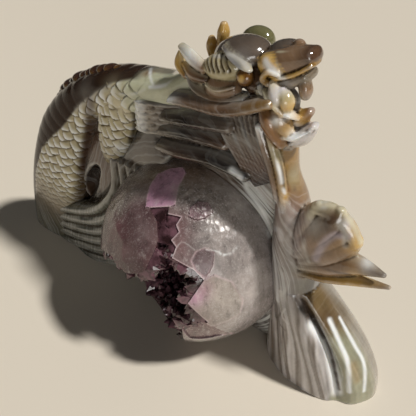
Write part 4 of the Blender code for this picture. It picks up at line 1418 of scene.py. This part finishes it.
pillar = {
    "petals": [
        ([(53, 5, 113), (56.6, 5, 117), (60, 5, 120.6)], 2.6, 3.4, ["white", "frost", "honey", "amber"]),
        ([(54, 4, 107), (58.6, 4.4, 111.6), (62, 4.6, 116.4)], 2.9, 4.2, ["pale", "frost", "frost"]),
        ([(53, 4, 126), (54.5, 4, 123), (55.5, 4, 119.5)], 1.8, 2.6, ["smoke", "grey", "smoke"]),
        ([(50, 1, 122), (53, 0, 117), (56, 1, 113)], 3.2, 3.6, ["brown", "ochre", "honey"]),
        ([(46, 1, 120), (50, -1, 116), (54, 0, 109)], 3.6, 3.8, ["brown", "amber", "amber"]),
        ([(46, 1, 125), (50, -1, 123.4), (54, -1, 120)], 1.6, 2.6, ["cream", "ivory", "honey"]),
        ([(48, 2, 127.4), (51, 0, 124.6), (52.6, 0, 121)], 2.6, 3.2, ["ivory", "frost", "cream"]),
        ([(52, 1, 127), (54, 0.4, 124), (54.6, 0.4, 120.4)], 2.4, 3.0,
         ["frost", "cream", "honey", "ivory"]),
        ([(50.5, 1, 119.6), (54.5, 0, 120.4), (58, 1.5, 119)], 1.2, 2.2, ["honey", "white", "honey"]),
        ([(53, 0, 113), (57, 0.6, 112.6), (61, 2.6, 115)], 1.3, 2.4, ["honey", "white", "grey"]),
    ],
    "petalSquare": 1.2,
    "path": [
        (49, 7, 116, 5, 6), (52, 6, 104, 4.2, 6), (54, 6, 94, 3.8, 6), (57, 6, 84, 5.5, 7.5),
        (59, 7, 68, 7.5, 9.5), (62, 8, 48, 9, 11), (64, 9, 30, 9, 11),
    ],
    "tones": ["amber", "ochre", "ochre", "tan", "greyBrown", "grey", "grey"],
    "strands": [
        ([(45, 1, 112, 1.6, 2.2), (49, 0, 104, 1.8, 2.2), (52.5, 0, 95, 1.6, 2), (54, 1, 87, 1.6, 2)],
         ["white", "tan", "brown", "tan", "pale"]),
        ([(49, 0, 112, 1.4, 2), (53.5, -0.5, 102, 1.5, 2), (56, 0, 92, 1.5, 2), (57, 1, 84, 1.5, 2)],
         ["tan", "cream", "ochre", "honey", "white"]),
    ],
    "spots": [
        # the first two white spots are painted glints on the petals
        ((52.5, -3.6, 118.4), 1.5, "white", 0.8), ((55, -2.6, 119.4), 1.4, "white", 0.7),
        ((50, -4.4, 114), 3, "amber", 0.5), ((47, -3, 117), 3, "brown", 0.5),
        ((60, 3, 119), 2.2, "amber", 0.6), ((57, 0, 114), 2, "white", 0.5), ((55, 0, 99), 4, "ochre", 0.5),
        ((58.5, 4, 96), 4, "glass", 0.6), ((61, 0, 80), 4, "grey", 0.5),
        ((69.8, 2, 91.6), 1.7, "white", 0.9), ((75, 0, 89.6), 3.4, "brown", 0.9),
        ((72.4, -0.4, 88), 3.2, "brown", 0.75), ((79.4, 2, 88.4), 2.0, "frost", 0.8),
        ((83.6, 2, 84), 2.6, "honey", 0.9), ((68.6, -0.4, 84), 3.6, "pale", 0.6),
        ((78, -0.4, 79), 4.4, "ochre", 0.5), ((76, -1, 76), 3.4, "tan", 0.6),
        ((88, 2.5, 74.5), 2.1, "white", 0.9), ((93.4, 3, 73.4), 4, "smoke", 0.8),
        ((86, 1, 71), 3, "honey", 0.5), ((94, 2.5, 69.6), 3.4, "ochre", 0.5),
        ((72, -2, 69), 2.6, "brown", 0.8), ((67.6, -1.6, 66), 4, "greyBrown", 0.6),
        ((66.5, -1, 60), 4, "olive", 0.4), ((64, -1, 72), 4, "grey", 0.4), ((69, -2, 52), 4, "olive", 0.5),
        ((70, -1.6, 46), 5, "brown", 0.6), ((64, -2, 42), 5, "grey", 0.6), ((78, 3, 39), 5, "brown", 0.5),
        ((82, 10, 40), 4, "greyBrown", 0.6),
    ],
    "veins": [
        ([(55.6, 1.4, 106), (57, 1, 99), (57.6, 1, 92)], 0.9, "amber", 0.9),
        ([(56.8, 2.4, 107), (58.4, 3, 99), (59.4, 3, 92)], 0.9, "brown", 0.7),
        ([(52.6, -3.4, 110), (53.8, -2.8, 105), (55.2, -1.8, 100), (56, -1.4, 96)], 0.8, "white", 0.9),
        ([(55.4, -0.6, 109), (56, 0.6, 103), (56.6, 1, 98)], 1.2, "ochre", 0.7),
        ([(54, -1, 108), (55.6, -1, 100), (57, -1, 93)], 0.6, "deep", 0.6),
        ([(56.4, 1, 108.4), (59, 1.6, 112.6), (61.4, 2, 117)], 0.4, "smoke", 0.8),
        ([(57.6, 2, 108), (60.4, 2.4, 112), (62.8, 3, 116)], 0.35, "smoke", 0.8),
        ([(57, 0.6, 110), (59.4, 1, 113.6), (61, 1.6, 117.6)], 0.4, "white", 0.8),
        ([(55, -1, 95.4), (57.6, -1, 92), (60.4, 1, 89.6)], 0.7, "white", 0.8),
        ([(59.5, 2, 106), (60, 3, 98), (61.4, 3, 90)], 0.5, "pale", 0.6),
        ([(72, -1.9, 71), (73.5, -1.8, 77.9), (74.9, -1.3, 81.5), (77, -0.6, 84), (80.4, 0, 84.6)], 1.5,
         "violet", 0.95),
        ([(66.6, 0, 86), (69, 1.6, 91), (73, 2.6, 92.6), (76.6, 2.6, 92), (80, 2.6, 88.8),
          (84.4, 2.4, 83)], 1.2, "ivory", 0.85),
        ([(77, 0.4, 88.6), (79.6, 0, 85.4), (80.6, -0.4, 81)], 1.1, "pale", 0.7),
        ([(70, -2, 66.6), (76, -1.6, 67.8), (84, 0, 69.8)], 0.8, "brown", 0.8),
        ([(70, -2, 63.4), (78, -1, 64.6), (88, 1, 67.4)], 0.6, "honey", 0.7),
        ([(69.6, -1.6, 68), (67.6, -2, 72), (67, -1.6, 77)], 0.8, "pale", 0.6),
        ([(61.4, -2.4, 58), (63.4, -2.4, 52), (61.4, -3, 46), (58.6, -3, 44)], 0.7, "pale", 0.8),
        ([(60, -2.4, 54), (61, -2.6, 50), (59.4, -3, 48)], 0.6, "smoke", 0.7),
        ([(62, -1.4, 78), (60.6, -1.6, 73), (62.6, -1.6, 68)], 0.8, "pale", 0.5),
        ([(74.6, -1, 36), (80, 1, 27), (84, 0, 18.7), (87.2, 0, 11), (89.2, 0, 5)], 2.6, "frost", 0.8),
        ([(74.6, -0.6, 36.6), (80.6, 2, 27), (84.8, 1, 18.7), (88, 0.6, 11), (90, 0.4, 5)], 2.2, "white",
         1.0),
        ([(70, -1.4, 43.4), (72.6, 0.2, 39.6), (76.2, 2, 34.7), (79.4, 2.6, 30)], 1.5, "deep", 0.85),
        ([(80.4, 2.6, 29.4), (83.4, 2.2, 23), (87, 1.4, 14.6), (90.6, 0.8, 6)], 0.7, "brown", 0.8),
        ([(79.6, 4, 38.4), (83.4, 3.4, 33.1), (86.5, 3, 28.9), (89.3, 2.8, 24.8), (91.6, 2, 19.6),
          (94.4, 1, 8)], 1.05, "white", 0.95),
        ([(82, 7.9, 37.6), (86.5, 7.4, 32.4), (90.9, 7.4, 26.6), (94, 7.8, 22.3), (96.5, 7.2, 17.2),
          (98.8, 5.6, 7)], 0.8, "white", 0.95),
        ([(92, 4.4, 20), (94.6, 4, 14)], 2.4, "ochre", 0.5),
        ([(62, -2.8, 36), (61, -1.6, 30), (65.4, -3.3, 28.6)], 0.6, "smoke", 0.7),
        ([(64, -3, 40), (63, -3, 35.4), (66, -3, 33)], 0.5, "frost", 0.7),
    ],
    "claw": [
        ([(60, 7, 62, 4, 6), (64, 5, 74, 5.5, 6), (66.5, 3.5, 84, 4.2, 4.5), (68.5, 3, 90, 1.8, 2)],
         ["greyBrown", "tan", "tan", "cream"]),
        ([(61, 6.5, 63, 5, 6), (67, 4, 75, 6, 6), (71, 3.2, 84.5, 4.6, 4.4), (72.4, 3, 90, 2.4, 2.2)],
         ["greyBrown", "tan", "brown", "cream"]),
        ([(62, 6, 64, 6, 6.5), (70, 4, 76, 6.5, 6), (74.5, 3, 86, 4.6, 4.5), (75.8, 3, 91, 2, 2)],
         ["greyBrown", "tan", "brown", "cream"]),
        ([(62.5, 6, 63, 6, 6), (71.5, 4, 74, 6.5, 6), (77.5, 3.2, 82, 4.8, 4.4), (79.6, 3, 87, 2.4, 2.2)],
         ["greyBrown", "tan", "tan", "honey"]),
        ([(63, 6, 62, 6, 6), (73, 4, 71.5, 6.5, 6), (80, 3.5, 78.5, 4.8, 4.5), (83.5, 3, 82.5, 1.8, 2)],
         ["greyBrown", "tan", "tan", "honey"]),
        ([(67, 3.2, 88, 2.2, 3), (71.6, 3.2, 89, 3.0, 3.4), (76, 3.2, 87.8, 3.2, 3.4),
          (80, 3.2, 84.6, 3.0, 3.2), (83, 3, 80.6, 2.4, 2.8)], ["cream", "ivory", "pale", "honey"]),
        ([(63, 5, 61, 5, 5.5), (74, 4, 66, 5.2, 5), (84, 3, 72, 4.2, 3.8), (94.5, 2.5, 73.5, 0.8, 1)],
         ["greyBrown", "tan", "tan", "grey"]),
        ([(62, 5, 58, 3.5, 5.5), (74, 4, 60.5, 2.8, 4.6), (86, 3, 65.5, 2, 2.8),
          (97, 2.5, 69.5, 0.7, 0.9)], ["brown", "ochre", "honey", "tan"]),
    ],
    "clawSquare": 1.15,
    "voxel": 0.47,
}


def makePillar():
    s = Soup()
    for (low, middle, tip), across, depth, names in pillar["petals"]:
        s.limb([(*low, across * 0.5, depth * 0.6), (*middle, across, depth),
                (*tip, across * 0.5, depth * 0.55)],
               names, sides=24, step=0.5, square=pillar["petalSquare"])
    s.limb(pillar["path"], pillar["tones"], sides=32, step=1.0)
    for stations, names in pillar["strands"]:
        s.limb(stations, names, sides=16)
    for stations, names in pillar["claw"]:
        s.limb(stations, names, sides=30, step=0.7, square=pillar["clawSquare"],
               edge="ivory", edgeShare=0.35)
    s.add(*footSkirt())
    obj, points, colours = fusedPiece("pillarAndFoot", s, pillar["voxel"])
    depth = hollows(obj.data)
    # ridges painted white as a painted highlight; the grooves darken in the material as painted shade
    shade(colours, "white", soften(0.08, 0.32, -depth) * 0.3)
    paint(points, colours, pillar["spots"], pillar["veins"] + sharedVeinsAndSheen)
    # the column between mane and foot is paler, with fine lines
    x, y, z = points.T
    column = soften(96, 84, z) * soften(40, 50, z) * soften(70, 63, x)
    line = column * soften(58, 48, domeReach(points)) * soften(6, 2, y)
    shade(colours, "violet", column * soften(6, 1, y) * 0.35, 0.85)
    writeAgate(obj.data, colours, soften(0.02, 0.26, depth) * 0.85, 0.04 + 0.28 * column, line * 0.35)
    settle(obj, bandedAgate)


# The foot: a skirt that flares from the pillar to the ground

foot = {
    "height": 48.0,
    "topMiddle": (63, 8),
    "topRadii": (9, 11),
    "baseMiddle": (77, 12),
    "baseRadii": (25.5, 17),
    "backRadius": 13.0,
    "around": 300,
    "up": 110,
    "flutes": [
        (-54, 8, 5), (-24, 9, 1.1), (6, 10, 1), (-96, 9, 0.9), (-128, 9, 0.9), (60, 12, 1.5),
        (120, 12, 1.5),
    ],
    "fineRibs": 46,
    "fineDepth": 0.12,
    "flowTurns": 0.38,
}


def footSkirt():
    # a grid of angle and height, sent to its place by a rule
    n = PieceTree("fluted foot", bandedAgate, {
        "Height": foot["height"], "Fine Ribs": float(foot["fineRibs"]), "Fine Depth": foot["fineDepth"]})
    grid = n.add("GeometryNodeMeshGrid", {"Size X": 1, "Size Y": 1, "Vertices X": foot["around"] + 1,
                                          "Vertices Y": foot["up"] + 1})
    split = n.add("ShaderNodeSeparateXYZ", {0: n.add("GeometryNodeInputPosition").outputs[0]})
    turn = n.times(n.plus(split.outputs["X"], 0.5), 2 * math.pi)
    share = n.plus(split.outputs["Y"], 0.5)
    height = n.times(share, n.given["Height"])
    flare = n.math("COSINE", n.times(share, math.pi / 2))
    degrees = n.times(turn, 180 / math.pi)
    # each flute: where it is in degrees, its width in degrees, its depth
    pinch = 0.0
    for place, width, depth in foot["flutes"]:
        offset = n.minus(n.math("FLOORED_MODULO", n.plus(n.minus(degrees, place), 180), 360), 180)
        squared = n.math("POWER", n.math("ABSOLUTE", n.math("DIVIDE", offset, width)), 2)
        pinch = n.plus(pinch, n.times(n.math("EXPONENT", n.times(squared, -1)), depth))
    swell = n.math("POWER", n.math("SINE", n.times(share, math.pi)), 0.7)
    pinch = n.times(pinch, n.plus(n.times(swell, 0.8), 0.2))
    fine = n.math("SINE", n.plus(n.times(turn, n.given["Fine Ribs"]), n.times(share, 9)))
    pinch = n.plus(pinch, n.times(n.times(fine, n.given["Fine Depth"]), swell))
    behind = n.math("GREATER_THAN", n.math("SINE", turn), 0)

    def between(top, base):
        return n.plus(n.times(flare, n.minus(base, top)), top)

    topX, topY = foot["topMiddle"]
    baseX, baseY = foot["baseMiddle"]
    topAcross, topDepth = foot["topRadii"]
    baseAcross, baseFront = foot["baseRadii"]
    baseDepth = n.plus(n.times(behind, foot["backRadius"] - baseFront), baseFront)
    across = n.minus(between(topAcross, baseAcross), pinch)
    depth = n.minus(between(topDepth, baseDepth), pinch)
    place = n.add("ShaderNodeCombineXYZ", {
        "X": n.plus(between(topX, baseX), n.times(across, n.math("COSINE", turn))),
        "Y": n.plus(between(topY, baseY), n.times(depth, n.math("SINE", turn))),
        "Z": height})
    move = n.add("GeometryNodeSetPosition", {"Geometry": grid.outputs["Mesh"],
                                             "Position": place.outputs[0]})
    close = n.add("GeometryNodeMergeByDistance", {"Geometry": move.outputs[0], "Distance": 0.001})
    obj = newObject("flutedFoot", bpy.data.meshes.new("flutedFoot"))
    n.grow(obj, close.outputs[0])
    bm = openMesh(obj.data)
    bmesh.ops.holes_fill(bm, edges=[e for e in bm.edges if e.is_boundary], sides=0)
    bmesh.ops.recalc_face_normals(bm, faces=bm.faces)
    closeMesh(bm, obj.data)
    points = readPoints(obj.data)
    faces = [tuple(polygon.vertices) for polygon in obj.data.polygons]
    bpy.data.objects.remove(obj)
    return [Vector(p) for p in points], faces, list(footColours(points))


def footColours(points):
    # bands run down the left flute and out to the right
    topX, topY = foot["topMiddle"]
    baseX, baseY = foot["baseMiddle"]
    share = points[:, 2] / foot["height"]
    flare = np.cos(np.pi / 2 * np.clip(share, 0, 1))
    middleX, middleY = topX + (baseX - topX) * flare, topY + (baseY - topY) * flare
    angle = np.degrees(np.arctan2(points[:, 1] - middleY, points[:, 0] - middleX))
    bent = angle + 14 * np.sin(2.6 * share + 0.4) + 3 * np.sin(angle * 0.11 + 7 * share)
    flow = 0.5 + 0.5 * np.sin(bent * foot["flowTurns"])
    thin = 0.5 + 0.5 * np.sin(bent * foot["flowTurns"] * 2.7 + 1.0)
    bands = np.tile(stone["smoke"] * 1.3, (len(points), 1))
    shade(bands, "frost", 0.7 * soften(0.2, 0.7, flow) + 0.3 * thin)
    colours = np.tile(stone["grey"], (len(points), 1))
    shade(colours, bands, soften(-50, -56, angle) * soften(-179, -160, angle) * 0.95)
    shade(colours, "glass", soften(-54, -48, angle) * soften(60, 10, angle) * 0.95)
    shade(colours, "ashGrey", soften(-14, 4, angle) * soften(100, 60, angle) * 0.8, 0.85)
    upper = soften(0.6, 0.78, share) * soften(-60, -50, angle) * soften(30, -10, angle)
    shade(colours, "ochre", upper * 0.85, 0.5)
    back = np.clip(soften(60, 110, angle) + soften(-150, -175, angle), 0, 1)
    shade(colours, "smoke", back * 0.6)
    # near black down the bottom of the deep flute: painted shade
    cleft = np.exp(-((angle + 53) / 4.5) ** 2) * soften(0.98, 0.8, share) * soften(0.02, 0.2, share)
    shade(colours, "deep", cleft * 0.85)
    return colours


makePillar()
print("pillar and foot done")


# The geode: a polished dome of quartz with the broken mouth, plates at its rim and points on the wall

def domeMesh(name, subdivisions):
    # a ball with its back pressed flat
    centre = carving["domeCentre"]
    bm = bmesh.new()
    bmesh.ops.create_icosphere(bm, subdivisions=subdivisions, radius=carving["domeRadius"],
                               matrix=Matrix.Translation(centre))
    for vert in bm.verts:
        if vert.co.y > centre.y:
            vert.co.y = centre.y + (vert.co.y - centre.y) * carving["domeBackFlatten"]
    mesh = bpy.data.meshes.new(name)
    closeMesh(bm, mesh)
    return newObject(name, mesh)


def outlineGap(points, outline):
    # distance on the dome between each point and the drawn outline, in millimetres
    centre, radius = np.array(carving["domeCentre"]), carving["domeRadius"]
    corners = unitRows(np.array([*outline, outline[0]]) - centre) * radius
    onDome = points - centre
    onDome = onDome / (np.linalg.norm(onDome, axis=1)[:, None] + 1e-9) * radius
    return lineGap(onDome, corners)


def insideOutline(points, outline):
    # which points lie inside an outline, seen from the middle of the dome
    centre = np.array(carving["domeCentre"])
    corners = np.array(outline) - centre
    ahead = corners.mean(axis=0)
    ahead /= np.linalg.norm(ahead)
    right = np.cross(ahead, (0, 0, 1.0))
    right /= np.linalg.norm(right)
    up = np.cross(right, ahead)

    def flatten(p):
        depth = np.maximum(p @ ahead, 1e-3)
        return np.stack([p @ right / depth, p @ up / depth], axis=1)

    (x, y), edges = flatten(points - centre).T, flatten(corners)
    inside = np.zeros(len(points), bool)
    for (ax, ay), (bx, by) in zip(edges, np.roll(edges, -1, axis=0)):
        crosses = (ay > y) != (by > y)
        inside ^= crosses & (x < (bx - ax) * (y - ay) / (by - ay + 1e-12) + ax)
    return inside & ((points - centre) @ ahead > 0)


def refineDome(obj):
    # finer faces round the mouth and the flakes
    middles = np.array([f.center for f in obj.data.polygons])
    front = middles[:, 1] < carving["domeCentre"].y
    near = outlineGap(middles, geode["mouth"]) < 6
    for outline in geode["plates"]:
        near |= insideOutline(middles, outline) | (outlineGap(middles, outline) < 1.2)
    bm = openMesh(obj.data)
    bm.faces.ensure_lookup_table()
    edges = {e for k in np.nonzero(near & front)[0] for e in bm.faces[k].edges}
    bmesh.ops.subdivide_edges(bm, edges=list(edges), cuts=1, use_grid_fill=True)
    bmesh.ops.triangulate(bm, faces=[f for f in bm.faces if len(f.verts) > 3])
    closeMesh(bm, obj.data)


def breakDome(obj):
    # broken faces on the lobe, then each flake a flat face a little above or below the dome
    radius, centre = carving["domeRadius"], np.array(carving["domeCentre"])
    points = readPoints(obj.data)
    offset = points - centre
    front = offset[:, 1] < 0
    offset[front] *= (radius / np.linalg.norm(offset[front], axis=1))[:, None]
    for place, half in geode["facets"]:
        ahead = np.array(place) - centre
        ahead /= np.linalg.norm(ahead)
        level = radius * math.cos(half / radius)
        high = offset @ ahead
        over = high > level
        offset[over] *= (level / high[over])[:, None]
    for k, lift, _, _ in geode["steps"]:
        flake = insideOutline(points, geode["plates"][k]) & front
        corners = np.array(geode["plates"][k]) - centre
        ahead = corners.mean(axis=0)
        ahead /= np.linalg.norm(ahead)
        level = (corners @ ahead).mean() + lift
        flat = level / (offset[flake] @ ahead)
        offset[flake] *= (0.35 + 0.65 * flat)[:, None]
    obj.data.vertices.foreach_set("co", (offset + centre).ravel())


def paintDome(obj):
    points = readPoints(obj.data)
    x, y, z = points.T
    sunk = carving["domeRadius"] - domeReach(points)
    inside = soften(0.9, 1.7, sunk) * (y < 12)
    gap = outlineGap(points, geode["mouth"])
    colours = np.tile(stone["haze"] * 0.86, (len(points), 1))
    paint(points, colours, geode["patches"])
    # lighter towards the right-hand side: its own paler grey, brightened as painted light where the dome
    # lies in the pillar's shade
    shade(colours, "haze", soften(30, 52, x + 0.3 * (z - 41)) * 0.7, 1.1)
    shade(colours, "rose", np.exp(-(gap / 4.0) ** 2) * 0.5)
    lobe = soften(30, 16, x + 0.35 * (z - 60))
    shade(colours, "wine", np.exp(-(gap / 5.0) ** 2) * lobe * 0.75)
    # pale lines along the broken edge of the mouth and round the flakes: the thin quartz's own paleness
    # with a painted highlight
    edge = np.exp(-(lineGap(points, geode["mouth"][2:13]) / 0.35) ** 2) * 0.75
    for k, _, name, strength in geode["steps"]:
        shade(colours, name, insideOutline(points, geode["plates"][k]) * strength)
        edge = np.maximum(edge, np.exp(-(outlineGap(points, geode["plates"][k]) / 0.35) ** 2) * 0.4)
    paint(points, colours, geode["overSteps"])
    # the hollow's wall dark plum, and darker still in the material: partly its own colour, partly painted
    # shade
    shade(colours, "plum", inside)
    paint(points, colours, [], sharedVeinsAndSheen + geode["veins"])
    writeTones(obj.data, colours)
    writeShare(obj.data, "groove", inside * 0.3)
    writeShare(obj.data, "edge", edge * (1 - soften(0.3, 0.9, sunk)))
    frost = sum(np.exp(-away(points, place, radius)) for place, radius in geode["frost"])
    writeShare(obj.data, "frost", frost * (1 - inside))
    # the broken walls of the mouth are darker than the polished outside, partly as painted shade
    normals = np.array([f.normal for f in obj.data.polygons])
    middles = np.array([f.center for f in obj.data.polygons])
    outward = unitRows(middles - np.array(carving["domeCentre"]))
    broken = ((normals * outward).sum(1) < 0.6) & (middles[:, 1] < 14)
    wall = obj.data.attributes.new("wall", "FLOAT", "FACE")
    wall.data.foreach_set("value", broken.astype(float))


def makeDome():
    obj = domeMesh("geodeDome", 7)
    refineDome(obj)
    breakDome(obj)
    cut(obj, *geodeCutters(geode["wedgeInner"]))
    paintDome(obj)
    obj.data.set_sharp_from_angle(angle=math.radians(38))
    settle(obj, domeQuartz, "sharp edges kept")


def makeWallPoints():
    # the wall of the hollow alone, without the outside of the dome
    centre, radius = carving["domeCentre"], carving["domeRadius"]
    obj = domeMesh("wallPoints", 5)
    cut(obj, *geodeCutters(geode["wedgeInner"]))
    bm = openMesh(obj.data)
    bmesh.ops.triangulate(bm, faces=bm.faces)
    outer = []
    for f in bm.faces:
        middle = f.calc_center_median()
        if middle.y > 18 or (middle - centre).length > radius - geode["wallStart"]:
            outer.append(f)
    bmesh.ops.delete(bm, geom=outer, context="FACES")
    closeMesh(bm, obj.data)
    # small points all over it: a prism with a pyramid on top, turned and sized at random
    smallest, largest = geode["wallRadius"]
    n = PieceTree("quartz points on a wall", wineCrystal, {
        "Density": geode["wallDensity"], "Smallest": smallest, "Largest": largest,
        "Seed": geode["wallSeed"]})
    scatter = n.add("GeometryNodeDistributePointsOnFaces", {
        "Mesh": n.given["Geometry"], "Density": n.given["Density"], "Seed": n.given["Seed"]})
    prism = n.add("GeometryNodeMeshCylinder", {"Vertices": 6, "Radius": 1, "Depth": 2.4})
    tipCone = n.add("GeometryNodeMeshCone", {"Vertices": 6, "Radius Bottom": 1, "Radius Top": 0,
                                             "Depth": 1.3})
    lift = n.add("GeometryNodeTransform", {"Geometry": tipCone.outputs["Mesh"], "Translation": (0, 0, 1.2)})
    both = n.add("GeometryNodeJoinGeometry", {0: prism.outputs["Mesh"]})
    n.feed(both, {0: lift.outputs[0]})
    tilt = n.add("FunctionNodeRandomValue", {0: (-0.5, -0.5, -3.1), 1: (0.5, 0.5, 3.1),
                                             "Seed": n.given["Seed"]}, data_type="FLOAT_VECTOR")
    turn = n.add("FunctionNodeRotateEuler", {"Rotation": scatter.outputs["Rotation"],
                                             "Rotate By": tilt.outputs[0]}, space="LOCAL")
    size = n.add("FunctionNodeRandomValue", {2: n.given["Smallest"], 3: n.given["Largest"],
                                             "Seed": n.given["Seed"]}, data_type="FLOAT")
    place = n.add("GeometryNodeInstanceOnPoints", {
        "Points": scatter.outputs["Points"], "Instance": both.outputs[0], "Rotation": turn.outputs[0],
        "Scale": size.outputs[1]})
    n.grow(obj, place.outputs[0])
    # nothing comes through the dome from inside
    offset = readPoints(obj.data) - np.array(centre)
    deep = offset[:, 1] > 0
    offset[deep, 1] /= carving["domeBackFlatten"]
    length = np.linalg.norm(offset, axis=1)
    offset *= np.minimum(1, (radius - geode["wallSink"]) / length)[:, None]
    offset[deep, 1] *= carving["domeBackFlatten"]
    obj.data.vertices.foreach_set("co", (offset + np.array(centre)).ravel())
    settle(obj, wineCrystal, "flat")


makeDome()
makeWallPoints()
print("geode done")


# Floor, light and camera

studio = {
    "floor": tuple(tone(222, 212, 196)),
    "floorHalf": 3.0,
    "sky": (0.66, 0.66, 0.66),
    "skyStrength": 0.055,
    "lightColour": (1.0, 0.985, 0.95),
    "lights": [("sun", (0.67, 0.21, 1.0), 3.22, 0.1), ("fill", (0.66, -0.72, 0.14), 0.85, 0.5)],
    "eye": (0.12188, -0.12480, 0.20385),
    "azimuth": 37.0,
    "elevation": 40.0,
    "sensor": 36,
    "focalPixels": 550.0,
    "photoPixels": 416,
}


def makeFloor():
    bm = bmesh.new()
    bmesh.ops.create_grid(bm, x_segments=2, y_segments=2, size=studio["floorHalf"])
    mesh = bpy.data.meshes.new("floor")
    closeMesh(bm, mesh)
    floor = newObject("floor", mesh)
    settings = {"Roughness": 0.7, "Base Color": (*studio["floor"], 1)}
    mesh.materials.append(newMaterial("pale floor", settings)[0])
    floor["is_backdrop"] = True


def makeLights():
    # a pale sky, a sun from the upper right and a fill from the front: name, direction, strength, angle
    scene = bpy.context.scene
    scene.view_settings.view_transform = "Standard"
    scene.world = bpy.data.worlds.new("studio")
    scene.world.use_nodes = True
    background = scene.world.node_tree.nodes["Background"]
    background.inputs[0].default_value = (*studio["sky"], 1)
    background.inputs[1].default_value = studio["skyStrength"]
    for name, direction, strength, angle in studio["lights"]:
        light = newObject(name, bpy.data.lights.new(name, "SUN"))
        light.data.energy = strength
        light.data.angle = angle
        light.data.color = studio["lightColour"]
        light.rotation_mode = "QUATERNION"
        light.rotation_quaternion = Vector(direction).to_track_quat("Z", "Y")


def makeCamera():
    # the photo's own view: the eye's place, its turn round the carving and its tilt down
    cam = newObject("camera", bpy.data.cameras.new("camera"))
    a, e = math.radians(studio["azimuth"]), math.radians(studio["elevation"])
    right = Vector((math.cos(a), math.sin(a), 0))
    forward = Vector((-math.sin(a) * math.cos(e), math.cos(a) * math.cos(e), -math.sin(e)))
    turn = Matrix((right, right.cross(forward), -forward)).transposed().to_4x4()
    cam.matrix_world = Matrix.Translation(studio["eye"]) @ turn
    cam.data.sensor_width = studio["sensor"]
    cam.data.lens = studio["sensor"] * studio["focalPixels"] / studio["photoPixels"]
    cam.data.clip_start = 0.001
    bpy.context.scene.camera = cam


makeFloor()
makeLights()
makeCamera()

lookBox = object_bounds()
for name, box in (("solid", cadBox), ("scene", lookBox)):
    print("size of the", name, [round((b - a) / millimetre, 1) for a, b in zip(*box)])
